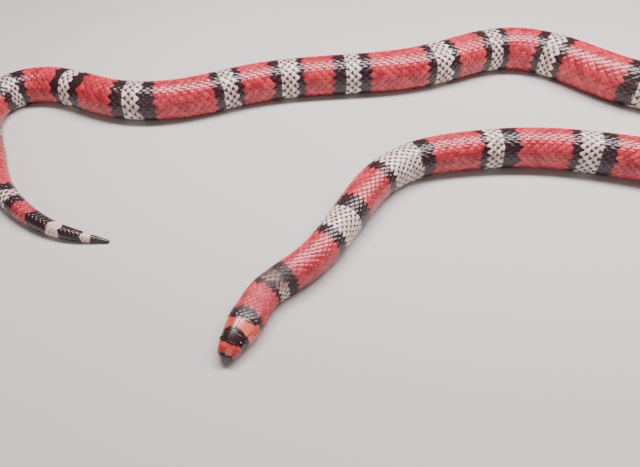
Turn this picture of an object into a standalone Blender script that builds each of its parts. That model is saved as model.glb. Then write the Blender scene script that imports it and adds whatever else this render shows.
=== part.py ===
"""A milk snake at life size, lying on a flat floor in an open S, head low in front and tail curled round.

Units are metres, +Z up. The floor is z = 0 and the origin is under the middle of the snake's bounding box.
Every place on the animal is named by two numbers: how far it is along the body from the tip of the snout,
and how far it is round the skin from the middle of the back, positive on the animal's own left.
"""

import math

import bmesh
import bpy
import numpy as np
from mathutils import Matrix, Vector

# Driving dimensions
MM = 0.001
HEAD_LENGTH = 23 * MM
GREATEST_WIDTH = 25.5 * MM
VENT_SHARE = 0.865
NODE_GAP = 0.3 * MM

# Build of the trunk, as shares of its own width or height
HEIGHT_TO_WIDTH = 0.90
WIDEST_LEVEL = 0.43
BACK_ROUNDNESS = 2.15
BELLY_ROUNDNESS = 2.5
BELLY_CUT = 1.06
# Where the head's own sections give way to the trunk's: shares of the head's length and of the whole length
HEAD_ENDS_SHARE = 0.9
TRUNK_STARTS_SHARE = 0.045

# The line of the spine behind the head, seen from above, from the nape to the tip of the tail
SPINE_POINTS_MM = (
    (-25.4, 139.0), (-21.2, 147.0), (-13.6, 154.4), (-3.5, 164.0), (6.0, 178.0), (15.5, 195.0), (27.0, 213.0),
    (46.0, 228.0), (70.0, 234.5), (98.0, 237.0), (127.0, 234.0), (155.0, 227.0), (182.0, 220.5), (211.0, 217.0),
    (238.0, 222.0), (256.0, 240.0), (256.0, 263.0), (239.0, 279.0), (214.0, 283.5), (191.0, 286.5),
    (171.0, 296.0), (154.5, 311.0), (137.5, 326.0), (118.0, 333.5), (96.0, 330.0), (75.0, 320.0),
    (47.0, 310.0), (17.0, 305.5), (-14.0, 301.5), (-42.0, 294.0), (-68.0, 283.0), (-94.0, 278.3),
    (-119.0, 283.3), (-138.0, 292.0), (-154.5, 296.0), (-169.5, 291.5), (-178.5, 278.5), (-177.0, 261.0),
    (-166.5, 240.5), (-153.3, 216.0), (-133.5, 195.0), (-117.0, 185.0), (-101.0, 180.6), (-92.3, 179.4),
)

# Width along the trunk and tail: (share of the whole length, share of the greatest width)
WIDTHS = (
    (0.032, 0.530), (0.060, 0.570), (0.120, 0.680), (0.200, 0.785), (0.300, 0.870), (0.420, 0.985),
    (0.500, 1.000), (0.570, 0.960), (0.640, 0.890), (0.700, 0.860), (0.780, 0.815), (0.830, 0.770),
    (0.865, 0.680), (0.900, 0.530), (0.940, 0.400), (0.970, 0.290), (0.985, 0.210), (0.995, 0.110),
    (1.000, 0.050),
)

# Head sections, in mm: (from the snout, half width, crown, widest level, chin)
HEAD_SECTIONS_MM = (
    (0.0, 0.60, 4.10, 3.60, 3.10), (0.4, 1.95, 5.10, 3.60, 2.15), (1.4, 3.15, 6.05, 3.60, 1.35),
    (3.4, 4.15, 7.10, 3.70, 0.60), (5.4, 4.65, 7.95, 3.85, 0.20), (7.6, 5.15, 8.60, 4.00, 0.05),
    (11.0, 6.05, 9.30, 4.20, 0.00), (15.5, 6.90, 9.95, 4.40, 0.00), (19.0, 7.05, 10.25, 4.50, 0.00),
    (23.0, 6.80, 10.60, 4.70, 0.00), (27.0, 6.75, 11.05, 4.90, 0.00),
)
HEAD_BACK_ROUNDNESS = 2.35

# The mouth, in mm: (from the snout, height of the line between the lips)
MOUTH_LINE_MM = ((-2.0, 2.75), (1.0, 2.75), (4.5, 2.65), (8.0, 2.95), (12.0, 3.00), (15.0, 3.10), (17.0, 3.75))
JAW_BACK_MM = ((17.6, 3.10), (18.6, -1.0))
LIP_OVERHANG = 0.22 * MM

# Eyes and nostrils, in mm
EYE_FROM_SNOUT = 6.4 * MM
EYE_HEIGHT = 6.2 * MM
EYE_RADIUS = 1.75 * MM
EYE_PROUD = 0.45 * MM
NOSTRIL_FROM_SNOUT = 1.80 * MM
NOSTRIL_HEIGHT = 4.90 * MM
NOSTRIL_RADIUS = 0.40 * MM

# Head shields: raised plates. Outlines are (from the snout, round the skin from mid-crown), in mm
SHIELD_RISE = 0.20 * MM
SHIELD_ROOT = 0.55 * MM
SHIELD_SEAM = 0.16 * MM
SHIELD_EDGE_STEP = 1.5 * MM
PAIRED_SHIELDS_MM = {
    "internasal": ((1.3, 0.0), (1.5, 1.7), (2.3, 2.4), (2.9, 2.2), (3.0, 0.0)),
    "prefrontal": ((3.0, 0.0), (2.9, 2.2), (3.6, 3.2), (4.9, 3.3), (5.1, 1.55), (4.95, 0.0)),
    "supraocular": ((5.1, 1.65), (5.0, 3.1), (6.4, 3.6), (8.4, 3.8), (9.0, 2.7), (8.4, 1.75)),
    "parietal": ((10.1, 0.0), (9.1, 1.4), (9.0, 2.8), (9.3, 4.2), (12.6, 5.1), (16.0, 4.0), (16.7, 1.6),
                 (16.1, 0.0)),
}
FRONTAL_MM = (
    (4.95, 0.0), (5.1, 1.5), (8.4, 1.65), (9.0, 1.3), (10.1, 0.0), (9.0, -1.3), (8.4, -1.65), (5.1, -1.5),
)
ROSTRAL_LENGTH = 0.85 * MM
# The same for shields on the side of the head, with a height above the floor in place of the way round
SIDE_SHIELDS_MM = {
    "nasal": ((0.95, 4.05), (0.95, 5.20), (1.4, 5.60), (2.3, 5.80), (2.7, 5.80), (2.75, 4.25), (1.6, 4.10)),
    "loreal": ((2.9, 4.30), (2.85, 5.60), (3.5, 6.00), (4.0, 6.10), (4.1, 4.40)),
    "preocular": ((4.25, 4.50), (4.15, 6.25), (4.8, 6.75), (5.4, 6.80), (5.3, 4.60)),
    "postocular_upper": ((7.5, 6.10), (7.5, 7.20), (8.6, 7.50), (9.1, 7.20), (9.0, 6.15)),
    "postocular_lower": ((7.6, 5.10), (7.6, 5.95), (9.0, 6.00), (9.2, 5.15)),
    "temporal_1": ((9.2, 6.20), (9.2, 7.55), (11.5, 7.80), (12.1, 7.00), (11.6, 6.25)),
    "temporal_2": ((9.35, 5.15), (9.2, 6.05), (11.6, 6.10), (12.0, 5.70), (11.7, 5.20)),
    "temporal_3": ((12.2, 6.95), (11.75, 7.85), (14.5, 8.30), (15.0, 7.60), (14.4, 7.05)),
    "temporal_4": ((11.9, 5.30), (12.3, 6.80), (14.4, 6.95), (14.9, 6.30), (14.4, 5.45)),
}
LABIAL_EDGES_MM = (1.1, 2.8, 4.6, 6.4, 8.6, 11.2, 13.9, 16.6)
LABIAL_LIFT = 0.28 * MM
UPPER_LABIAL_TOPS_MM = ((1.1, 3.90), (2.8, 4.10), (4.6, 4.35), (6.4, 4.60), (8.6, 4.90), (13.9, 5.10), (16.6, 5.3))
LOWER_LABIAL_FEET_MM = ((1.1, 1.75), (2.8, 1.55), (4.6, 1.45), (8.6, 1.40), (16.6, 1.50))

# Belly scutes: broad plates under the body, each with a steep hind edge
SCUTE_LENGTH = 7.6 * MM
SCUTE_DEPTH = 0.45 * MM
SCUTE_DEEPEST = 0.25
SCUTE_RAMP = 0.28
SCUTE_HEEL = 0.955

# Facets of a ring: the columns run from the middle of the belly round to the middle of the back on each side
HALF_COLUMNS = 10
SCUTE_COLUMNS = 3
HEAD_COLUMNS = 30
HEAD_RINGS = 23
HEAD_RING_CROWDING = 1.45
ROSTRAL_RINGS = 4
# Round a ball and from pole to pole
EYE_FACETS = (16, 10)
SOCKET_FACETS = (20, 12)
NOSTRIL_FACETS = (8, 6)
SMOOTH_BELOW_DEGREES = 35
WELD = 0.002 * MM

# The lengths the body is divided into, as shares of the distance from the nape to the vent
NECK_SHARE = 0.065
BODY_LENGTHS = 9
TAIL_LENGTHS = 3

COLOURS = {
    "head": ((0.030, 0.026, 0.028), 0.32),
    "neck": ((0.480, 0.055, 0.040), 0.38),
    "body": ((0.430, 0.035, 0.030), 0.38),
    "tail": ((0.060, 0.045, 0.045), 0.38),
    "eye": ((0.010, 0.006, 0.005), 0.05),
}


def clear_scene():
    for obj in list(bpy.data.objects):
        bpy.data.objects.remove(obj, do_unlink=True)


def monotone(xs, ys, x):
    """Smooth interpolation that never overshoots its stations (Fritsch and Carlson's slopes)."""
    xs, ys = np.asarray(xs, float), np.asarray(ys, float)
    step, rise = np.diff(xs), np.diff(ys)
    slope = rise / step
    tangent = np.concatenate([[slope[0]], np.zeros(len(xs) - 2), [slope[-1]]])
    for i in range(1, len(xs) - 1):
        if slope[i - 1] * slope[i] > 0:
            a, b = 2 * step[i] + step[i - 1], step[i] + 2 * step[i - 1]
            tangent[i] = (a + b) / (a / slope[i - 1] + b / slope[i])
    x = np.clip(np.asarray(x, float), xs[0], xs[-1])
    k = np.clip(np.searchsorted(xs, x, side="right") - 1, 0, len(xs) - 2)
    t, h = (x - xs[k]) / step[k], step[k]
    return (
        ys[k] * (1 + 2 * t) * (1 - t) ** 2
        + ys[k + 1] * t * t * (3 - 2 * t)
        + h * t * (1 - t) * (tangent[k] * (1 - t) - tangent[k + 1] * t)
    )


def smooth_curve(points, samples=6000):
    """The natural cubic spline through the points, resampled evenly: (points, their distances along it)."""
    p = np.array(points, float)
    t = np.concatenate([[0], np.cumsum(np.linalg.norm(np.diff(p, axis=0), axis=1))])
    h, n = np.diff(t), len(t)
    system, right = np.eye(n), np.zeros((n, 2))
    for i in range(1, n - 1):
        system[i, i - 1:i + 2] = h[i - 1], 2 * (h[i - 1] + h[i]), h[i]
        right[i] = 6 * ((p[i + 1] - p[i]) / h[i] - (p[i] - p[i - 1]) / h[i - 1])
    bend = np.linalg.solve(system, right)
    q = np.linspace(0, t[-1], samples)
    k = np.clip(np.searchsorted(t, q, side="right") - 1, 0, n - 2)
    step = h[k][:, None]
    before, after = (t[k + 1] - q)[:, None], (q - t[k])[:, None]
    curve = (
        (bend[k] * before**3 + bend[k + 1] * after**3) / (6 * step)
        + (p[k] / step - bend[k] * step / 6) * before
        + (p[k + 1] / step - bend[k + 1] * step / 6) * after
    )
    along = np.concatenate([[0], np.cumsum(np.linalg.norm(np.diff(curve, axis=0), axis=1))])
    even = np.linspace(0, along[-1], samples)
    return np.stack([np.interp(even, along, curve[:, i]) for i in (0, 1)], 1), even


class Snake:
    """The spine's line and the body's sections, read at any distance along the animal."""

    def __init__(self):
        line, along = smooth_curve(np.array(SPINE_POINTS_MM) * MM)
        self.line, self.along = line, along + HEAD_LENGTH
        self.length = self.along[-1]
        self.vent = VENT_SHARE * self.length
        self.headings = np.unwrap(np.arctan2(*np.gradient(line, axis=0).T[::-1]))
        self.middle = np.zeros(2)
        self.middle = self.bounding_middle()

    def bounding_middle(self):
        s = np.linspace(0, self.length, 3000)
        rim = np.concatenate([self.place(s, side * self.section(s)[0], 0 * s) for side in (-1, 1)])
        return (rim.min(0) + rim.max(0))[:2] / 2

    def frame(self, s):
        """(point on the spine's line, direction towards the tail, the animal's left) at distances s."""
        s = np.asarray(s, float)
        heading = np.interp(s, self.along, self.headings)
        tailward = np.stack([np.cos(heading), np.sin(heading)], -1)
        point = np.stack([np.interp(s, self.along, self.line[:, i]) for i in (0, 1)], -1)
        point = point + tailward * np.minimum(s - HEAD_LENGTH, 0)[..., None]
        left = np.stack([tailward[..., 1], -tailward[..., 0]], -1)
        return point - self.middle, tailward, left

    def section(self, s):
        """(half width, crown, widest level, floor level, back roundness) at distances s."""
        s = np.asarray(s, float)
        head = np.array(HEAD_SECTIONS_MM) * MM
        share, width = np.array(WIDTHS).T
        trunk_half = monotone(share, width, s / self.length) * GREATEST_WIDTH / 2
        trunk_crown = 2 * trunk_half * HEIGHT_TO_WIDTH
        is_trunk = monotone((HEAD_ENDS_SHARE * HEAD_LENGTH, TRUNK_STARTS_SHARE * self.length), (0, 1), s)
        columns = [monotone(head[:, 0], head[:, i], s) for i in (1, 2, 3, 4)]
        trunk = [trunk_half, trunk_crown, trunk_crown * WIDEST_LEVEL, 0 * s]
        mixed = [h * (1 - is_trunk) + t * is_trunk for h, t in zip(columns, trunk)]
        return (*mixed, HEAD_BACK_ROUNDNESS * (1 - is_trunk) + BACK_ROUNDNESS * is_trunk)

    def ring(self, s, angles):
        """Points (across to the left, up) of the section at s. Angles run from -90, the belly, to 90, the back."""
        half, crown, widest, floor, roundness = self.section(s)
        c, d = np.cos(angles), np.sin(angles)
        power = np.where(d > 0, 2 / roundness, 2 / BELLY_ROUNDNESS)
        across = half * np.sign(c) * np.abs(c) ** power
        rise = np.abs(d) ** power
        up = np.where(d > 0, widest + (crown - widest) * rise,
                      np.maximum(widest - (widest - floor) * BELLY_CUT * rise, floor))
        return across, up

    def place(self, s, across, up):
        point, _, left = self.frame(s)
        flat = point + left * np.asarray(across)[..., None]
        return np.concatenate([flat, np.asarray(up)[..., None]], -1)

    def skin(self, s, round_skin):
        """The point on the skin at s, that far round it from mid-back, and the normal there."""
        fine = np.linspace(math.pi / 2, -math.pi / 2, 181)
        across, up = self.ring(s, fine)
        walked = np.concatenate([[0], np.cumsum(np.hypot(np.diff(across), np.diff(up)))])
        near = np.clip(abs(round_skin) + np.array((-1, 0, 1)) * 0.1 * MM, 0, walked[-1])
        x, z = np.interp(near, walked, across), np.interp(near, walked, up)
        side = -1.0 if round_skin < 0 else 1.0
        tangent = np.array([side * (x[2] - x[0]), z[2] - z[0]])
        normal = np.array([-tangent[1], tangent[0]]) * side
        normal = normal / np.linalg.norm(normal)
        _, _, left = self.frame(s)
        outward = np.array([left[0] * normal[0], left[1] * normal[0], normal[1]])
        return self.place(s, side * x[1], z[1]), outward


def new_object(name, vertices, faces, kind):
    mesh = bpy.data.meshes.new(name)
    mesh.from_pydata([tuple(map(float, v)) for v in vertices], [], faces)
    body = bmesh.new()
    body.from_mesh(mesh)
    bmesh.ops.recalc_face_normals(body, faces=body.faces)
    body.to_mesh(mesh)
    body.free()
    obj = bpy.data.objects.new(name, mesh)
    bpy.context.scene.collection.objects.link(obj)
    finish_surface(obj, kind)
    return obj


def finish_surface(obj, kind):
    colour, roughness = COLOURS[kind]
    material = bpy.data.materials.get(kind) or bpy.data.materials.new(kind)
    material.use_nodes = True
    shader = material.node_tree.nodes["Principled BSDF"]
    shader.inputs["Base Color"].default_value = (*colour, 1.0)
    shader.inputs["Roughness"].default_value = roughness
    shader.inputs["Metallic"].default_value = 0.0
    obj.data.materials.clear()
    obj.data.materials.append(material)
    obj.data.shade_smooth()
    obj.data.set_sharp_from_angle(angle=math.radians(SMOOTH_BELOW_DEGREES))


def body_length(snake, name, start, end, kind):
    """One length of the trunk or tail, with its belly scutes, closed at both ends by flat faces."""
    start, end = start + NODE_GAP / 2, end - NODE_GAP / 2
    count = max(2, round((end - start) / SCUTE_LENGTH))
    edges = np.linspace(start, end, count + 1)
    columns = 2 * HALF_COLUMNS
    angles = -math.pi / 2 + np.arange(columns) * math.pi / HALF_COLUMNS
    from_belly = np.minimum(np.arange(columns), columns - np.arange(columns))
    vertices, rows = [], []

    def add_row(s, chosen, depth):
        across, up = snake.ring(s, angles)
        depth = min(depth, SCUTE_DEEPEST * snake.section(s)[2])
        up = np.where(from_belly < SCUTE_COLUMNS, up + depth, up)
        points = snake.place(np.full(columns, s), across, up)
        index = {}
        for j in chosen:
            index[j] = len(vertices)
            vertices.append(points[j])
        return index

    belly = [j for j in range(columns) if from_belly[j] <= SCUTE_COLUMNS]
    for k in range(count + 1):
        rows.append(add_row(edges[k], range(columns), SCUTE_DEPTH))
        if k < count:
            pitch = edges[k + 1] - edges[k]
            rows.append(add_row(edges[k] + SCUTE_RAMP * pitch, belly, 0.0))
            rows.append(add_row(edges[k] + SCUTE_HEEL * pitch, belly, 0.0))

    faces = []
    for k in range(0, len(rows) - 1, 3):
        first, ramp, heel, last = rows[k:k + 4]
        for j in range(columns):
            n = (j + 1) % columns
            if j in ramp and n in ramp:
                for a, b in ((first, ramp), (ramp, heel), (heel, last)):
                    faces += [(a[j], a[n], b[n]), (a[j], b[n], b[j])]
            elif j in ramp or n in ramp:
                low, high = (j, n) if j in ramp else (n, j)
                fan = [(first[low], ramp[low], first[high]), (ramp[low], heel[low], first[high]),
                       (heel[low], last[high], first[high]), (heel[low], last[low], last[high])]
                faces += fan if low == j else [f[::-1] for f in fan]
            else:
                faces += [(first[j], first[n], last[n]), (first[j], last[n], last[j])]
    faces.append(tuple(rows[0][j] for j in range(columns)))
    faces.append(tuple(rows[-1][j] for j in reversed(range(columns))))
    return new_object(name, vertices, faces, kind)


def head_loft(snake, name, stations, grow):
    """The head between those stations as one closed form, grown outwards by that much all round."""
    angles = np.arange(HEAD_COLUMNS) * 2 * math.pi / HEAD_COLUMNS - math.pi / 2
    vertices, faces = [], []
    for s in stations:
        across, up = snake.ring(s, angles)
        half, crown, widest, _, _ = snake.section(s)
        across = across * (1 + grow / half)
        up = widest + (up - widest) * (1 + max(grow, 0) / (crown - widest))
        vertices += list(snake.place(np.full(HEAD_COLUMNS, s), across, up))
    for k in range(len(stations) - 1):
        for j in range(HEAD_COLUMNS):
            n = (j + 1) % HEAD_COLUMNS
            a, b = k * HEAD_COLUMNS, (k + 1) * HEAD_COLUMNS
            faces += [(a + j, a + n, b + n), (a + j, b + n, b + j)]
    faces.append(tuple(range(HEAD_COLUMNS)))
    faces.append(tuple(reversed(range(len(vertices) - HEAD_COLUMNS, len(vertices)))))
    return new_object(name, vertices, faces, "head")


def head_stations():
    """Distances from the snout for the head's rings, closer together towards its rounded tip."""
    stations = HEAD_LENGTH * np.linspace(0, 1, HEAD_RINGS) ** HEAD_RING_CROWDING
    stations[-1] = HEAD_LENGTH - NODE_GAP / 2
    return stations


def rostral(snake):
    """The shield that caps the snout: the snout's own shape, a little larger and a little further forward."""
    cap = head_loft(snake, "rostral", np.linspace(0, ROSTRAL_LENGTH, ROSTRAL_RINGS), SHIELD_RISE)
    _, tailward, _ = snake.frame(0.0)
    cap.data.transform(Matrix.Translation((*(-tailward * SHIELD_RISE), 0.0)))
    return cap


def jaw_block(snake, grow):
    """Everything below the mouth's line and in front of its corners, grown outwards by that much."""
    outline = [(s * MM, z * MM + grow) for s, z in MOUTH_LINE_MM]
    outline += [(s * MM + grow, z * MM) for s, z in JAW_BACK_MM]
    outline.append((MOUTH_LINE_MM[0][0] * MM, JAW_BACK_MM[-1][1] * MM))
    reach = GREATEST_WIDTH / 2
    vertices = [snake.place(s, side * reach, z) for side in (-1, 1) for s, z in outline]
    count = len(outline)
    faces = [(i, (i + 1) % count, (i + 1) % count + count, i + count) for i in range(count)]
    faces += [tuple(range(count)), tuple(reversed(range(count, 2 * count)))]
    return new_object("jaw_block", vertices, faces, "head")


def eye_centre(snake, side):
    """The ball lies square to the head's surface, which leans inwards at the height of the eye."""
    across, up = snake.ring(EYE_FROM_SNOUT, np.linspace(0, math.pi / 2, 90))
    surface = np.interp(EYE_HEIGHT, up, across)
    lean = -np.interp(EYE_HEIGHT, up, np.gradient(across, up))
    depth = (EYE_RADIUS - EYE_PROUD) / math.hypot(1, lean)
    return Vector(snake.place(EYE_FROM_SNOUT, side * (surface - depth), EYE_HEIGHT - lean * depth))


def nostril_centre(snake, side):
    across, up = snake.ring(NOSTRIL_FROM_SNOUT, np.linspace(0, math.pi / 2, 90))
    surface = np.interp(NOSTRIL_HEIGHT, up, across)
    return Vector(snake.place(NOSTRIL_FROM_SNOUT, side * surface, NOSTRIL_HEIGHT))


def ball(name, centre, radius, facets, kind):
    body = bmesh.new()
    bmesh.ops.create_uvsphere(body, u_segments=facets[0], v_segments=facets[1], radius=radius)
    mesh = bpy.data.meshes.new(name)
    body.to_mesh(mesh)
    body.free()
    obj = bpy.data.objects.new(name, mesh)
    obj.location = centre
    bpy.context.scene.collection.objects.link(obj)
    finish_surface(obj, kind)
    return obj


def shield(snake, name, outline_mm, rise=SHIELD_RISE):
    """One raised plate: its outline drawn in by half a seam, set along the skin and rooted below it."""
    outline = np.array(outline_mm) * MM
    centre = outline.mean(0)
    points = []
    for a, b in zip(outline, np.roll(outline, -1, axis=0)):
        pieces = max(1, math.ceil(np.linalg.norm(b - a) / SHIELD_EDGE_STEP))
        points += [a + (b - a) * i / pieces for i in range(pieces)]
    drawn_in = []
    for p in points:
        inward = centre - p
        drawn_in.append(p + inward * min(0.5, SHIELD_SEAM / np.linalg.norm(inward)))
    vertices = []
    for level in (rise, -SHIELD_ROOT):
        for s, q in [*drawn_in, centre]:
            point, outward = snake.skin(s, q)
            vertices.append(point + outward * level)
    count = len(drawn_in)
    top, low = count, 2 * count + 1
    faces = []
    for i in range(count):
        n = (i + 1) % count
        a, b = i + count + 1, n + count + 1
        faces += [(i, n, top), (b, a, low), (a, b, n, i)]
    return new_object(name, vertices, faces, "head")


def crown_outlines(snake):
    """The upper head's shields by name, as outlines: the crown's, each side's and the upper labials."""
    found = {"frontal": FRONTAL_MM}
    one_side = {name: [(s, max(q, SHIELD_SEAM / 2 / MM)) for s, q in outline]
                for name, outline in PAIRED_SHIELDS_MM.items()}
    for name, outline in SIDE_SHIELDS_MM.items():
        one_side[name] = [(s, walk_down(snake, s * MM, z * MM) / MM) for s, z in outline]
    one_side |= labial_outlines(snake, "upper_labial", LABIAL_LIFT, UPPER_LABIAL_TOPS_MM)
    return found | both_sides(one_side)


def labial_outlines(snake, name, lift, far_edge_mm):
    """The row of lip shields between the mouth's line, moved by lift, and a far edge, on the left side."""
    mouth, far_edge = np.array(MOUTH_LINE_MM), np.array(far_edge_mm)
    found = {}
    for k, (a, b) in enumerate(zip(LABIAL_EDGES_MM, LABIAL_EDGES_MM[1:])):
        corners = []
        for s in (a, b):
            lip, far = np.interp(s, mouth[:, 0], mouth[:, 1]) + lift / MM, np.interp(s, *far_edge.T)
            corners.append([(s, walk_down(snake, s * MM, z * MM) / MM) for z in (lip, far)])
        found[f"{name}_{k + 1}"] = [*corners[0], *corners[1][::-1]]
    return found


def both_sides(one_side):
    found = {}
    for name, outline in one_side.items():
        found[name + "_left"] = outline
        found[name + "_right"] = [(s, -q) for s, q in outline][::-1]
    return found


def walk_down(snake, s, height):
    """How far round the skin from the middle of the crown a point of that height lies, at s."""
    across, up = snake.ring(s, np.linspace(math.pi / 2, -math.pi / 2, 361))
    walked = np.concatenate([[0], np.cumsum(np.hypot(np.diff(across), np.diff(up)))])
    return np.interp(-height, -up, walked)


def apply_boolean(obj, operation, others, solver="EXACT"):
    """Joins or cuts obj with the other objects, keeps the largest closed surface, and removes the others."""
    group = bpy.data.collections.new("operands")
    bpy.context.scene.collection.children.link(group)
    for other in others:
        group.objects.link(other)
    modifier = obj.modifiers.new(operation.lower(), "BOOLEAN")
    modifier.operation, modifier.solver = operation, solver
    modifier.operand_type, modifier.collection = "COLLECTION", group
    graph = bpy.context.evaluated_depsgraph_get()
    mesh = bpy.data.meshes.new_from_object(obj.evaluated_get(graph))
    obj.modifiers.clear()
    obj.data = mesh
    for other in others:
        bpy.data.objects.remove(other, do_unlink=True)
    bpy.data.collections.remove(group)
    keep_largest(obj)


def keep_largest(obj):
    body = bmesh.new()
    body.from_mesh(obj.data)
    bmesh.ops.remove_doubles(body, verts=body.verts, dist=WELD)
    bmesh.ops.dissolve_degenerate(body, edges=body.edges, dist=WELD)
    unseen, groups = set(body.verts), []
    while unseen:
        stack, group = [unseen.pop()], []
        while stack:
            vertex = stack.pop()
            group.append(vertex)
            for edge in vertex.link_edges:
                other = edge.other_vert(vertex)
                if other in unseen:
                    unseen.remove(other)
                    stack.append(other)
        groups.append(group)
    groups.sort(key=len)
    for group in groups[:-1]:
        bmesh.ops.delete(body, geom=group, context="VERTS")
    body.to_mesh(obj.data)
    body.free()


def build_head(snake):
    """The skull, cheeks and upper lip as one node, the lower jaw as another, and an eye in each socket."""
    head = head_loft(snake, "head", head_stations(), 0.0)
    plates = [shield(snake, name, outline) for name, outline in crown_outlines(snake).items()]
    apply_boolean(head, "UNION", [*plates, rostral(snake)])
    cutters = [jaw_block(snake, NODE_GAP / 2)]
    for side, word in ((1, "left"), (-1, "right")):
        socket = ball("socket_" + word, eye_centre(snake, side), EYE_RADIUS + NODE_GAP, SOCKET_FACETS, "head")
        nostril = ball("nostril_" + word, nostril_centre(snake, side), NOSTRIL_RADIUS, NOSTRIL_FACETS, "head")
        cutters += [socket, nostril]
    apply_boolean(head, "DIFFERENCE", cutters)
    finish_surface(head, "head")

    jaw = head_loft(snake, "lower_jaw", head_stations(), -LIP_OVERHANG)
    lower = both_sides(labial_outlines(snake, "lower_labial", -LABIAL_LIFT, LOWER_LABIAL_FEET_MM))
    apply_boolean(jaw, "UNION", [shield(snake, name, outline, 0.0) for name, outline in lower.items()])
    apply_boolean(jaw, "INTERSECT", [jaw_block(snake, -NODE_GAP / 2)])
    finish_surface(jaw, "head")

    for side, word in ((1, "left"), (-1, "right")):
        ball("eye_" + word, eye_centre(snake, side), EYE_RADIUS, EYE_FACETS, "eye")


def build_body(snake):
    """The neck, the lengths of the trunk and those of the tail, each face to face with the next."""
    trunk = snake.vent - HEAD_LENGTH
    neck_end = HEAD_LENGTH + NECK_SHARE * trunk
    body_length(snake, "neck", HEAD_LENGTH, neck_end, "neck")
    cuts = np.linspace(neck_end, snake.vent, BODY_LENGTHS + 1)
    for k in range(BODY_LENGTHS):
        body_length(snake, f"body_{k + 1}", cuts[k], cuts[k + 1], "body")
    cuts = np.linspace(snake.vent, snake.length, TAIL_LENGTHS + 1)
    for k in range(TAIL_LENGTHS):
        body_length(snake, f"tail_{k + 1}", cuts[k], cuts[k + 1], "tail")


def main():
    clear_scene()
    snake = Snake()
    build_head(snake)
    build_body(snake)


main()
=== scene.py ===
# %% [markdown]
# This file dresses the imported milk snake. The solids give its true outline, and stay in place as the frame.
# Over them go one skin without a seam, about five thousand scales, the belly's scutes, the shields of the
# head and two eyes. Everything is in metres and in the frame's own axes, so nothing has to be fitted.
# %% Load the frame
import math

import bpy
import numpy as np
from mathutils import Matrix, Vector


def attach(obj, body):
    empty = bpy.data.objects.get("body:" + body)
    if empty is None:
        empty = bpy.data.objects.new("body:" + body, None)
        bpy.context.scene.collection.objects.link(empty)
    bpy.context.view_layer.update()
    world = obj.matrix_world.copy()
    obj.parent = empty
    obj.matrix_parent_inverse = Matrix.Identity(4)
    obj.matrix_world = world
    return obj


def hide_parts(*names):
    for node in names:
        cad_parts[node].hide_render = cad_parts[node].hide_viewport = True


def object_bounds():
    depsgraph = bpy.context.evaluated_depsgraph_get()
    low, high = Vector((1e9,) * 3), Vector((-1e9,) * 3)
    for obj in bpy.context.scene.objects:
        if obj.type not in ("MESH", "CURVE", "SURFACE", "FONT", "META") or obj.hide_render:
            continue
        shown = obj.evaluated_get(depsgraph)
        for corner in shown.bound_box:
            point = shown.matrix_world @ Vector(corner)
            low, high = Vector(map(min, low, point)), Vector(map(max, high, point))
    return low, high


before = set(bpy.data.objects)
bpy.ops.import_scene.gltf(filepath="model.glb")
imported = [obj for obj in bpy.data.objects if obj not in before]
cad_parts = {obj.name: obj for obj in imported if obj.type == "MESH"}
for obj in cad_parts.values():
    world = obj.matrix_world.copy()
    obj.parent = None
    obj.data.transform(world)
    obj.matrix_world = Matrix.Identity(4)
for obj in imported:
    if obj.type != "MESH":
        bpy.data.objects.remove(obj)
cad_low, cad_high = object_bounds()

MM = 0.001
solids_size = [round((high - low) / MM, 1) for low, high in zip(cad_low, cad_high)]
print("solids", solids_size, "mm,", len(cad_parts), "nodes")

# %% [markdown]
# A snake is one long body, so it is easiest to describe by where a point is along it and how far round.
# The spine's line, the widths and the head's sections are the same named values that the solids were made
# from. A body drawn along a curve could also be made with a curve object and a bevel, but then the flat
# belly, the narrow neck and the shape of the head couldn't be told apart so easily.
# %% Named sizes
HEAD_LENGTH = 23 * MM
GREATEST_WIDTH = 25.5 * MM
VENT_SHARE = 0.865
HEIGHT_TO_WIDTH = 0.90
WIDEST_LEVEL = 0.43
BACK_ROUNDNESS = 2.15
BELLY_ROUNDNESS = 2.5
BELLY_CUT = 1.06
HEAD_ENDS_SHARE = 0.9
TRUNK_STARTS_SHARE = 0.045

# The line of the spine behind the head, seen from above
SPINE_POINTS_MM = (
    (-25.4, 139), (-21.2, 147), (-13.6, 154.4), (-3.5, 164), (6, 178), (15.5, 195), (27, 213), (46, 228),
    (70, 234.5), (98, 237), (127, 234), (155, 227), (182, 220.5), (211, 217), (238, 222), (256, 240),
    (256, 263), (239, 279), (214, 283.5), (191, 286.5), (171, 296), (154.5, 311), (137.5, 326), (118, 333.5),
    (96, 330), (75, 320), (47, 310), (17, 305.5), (-14, 301.5), (-42, 294), (-68, 283), (-94, 278.3),
    (-119, 283.3), (-138, 292), (-154.5, 296), (-169.5, 291.5), (-178.5, 278.5), (-177, 261),
    (-166.5, 240.5), (-153.3, 216), (-133.5, 195), (-117, 185), (-101, 180.6), (-92.3, 179.4),
)
# Share of the whole length, share of the greatest width
WIDTHS = (
    (0.032, 0.53), (0.06, 0.57), (0.12, 0.68), (0.20, 0.785), (0.30, 0.87), (0.42, 0.985), (0.50, 1),
    (0.57, 0.96), (0.64, 0.89), (0.70, 0.86), (0.78, 0.815), (0.83, 0.77), (0.865, 0.68), (0.90, 0.53),
    (0.94, 0.40), (0.97, 0.29), (0.985, 0.21), (0.995, 0.11), (1, 0.05),
)
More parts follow.
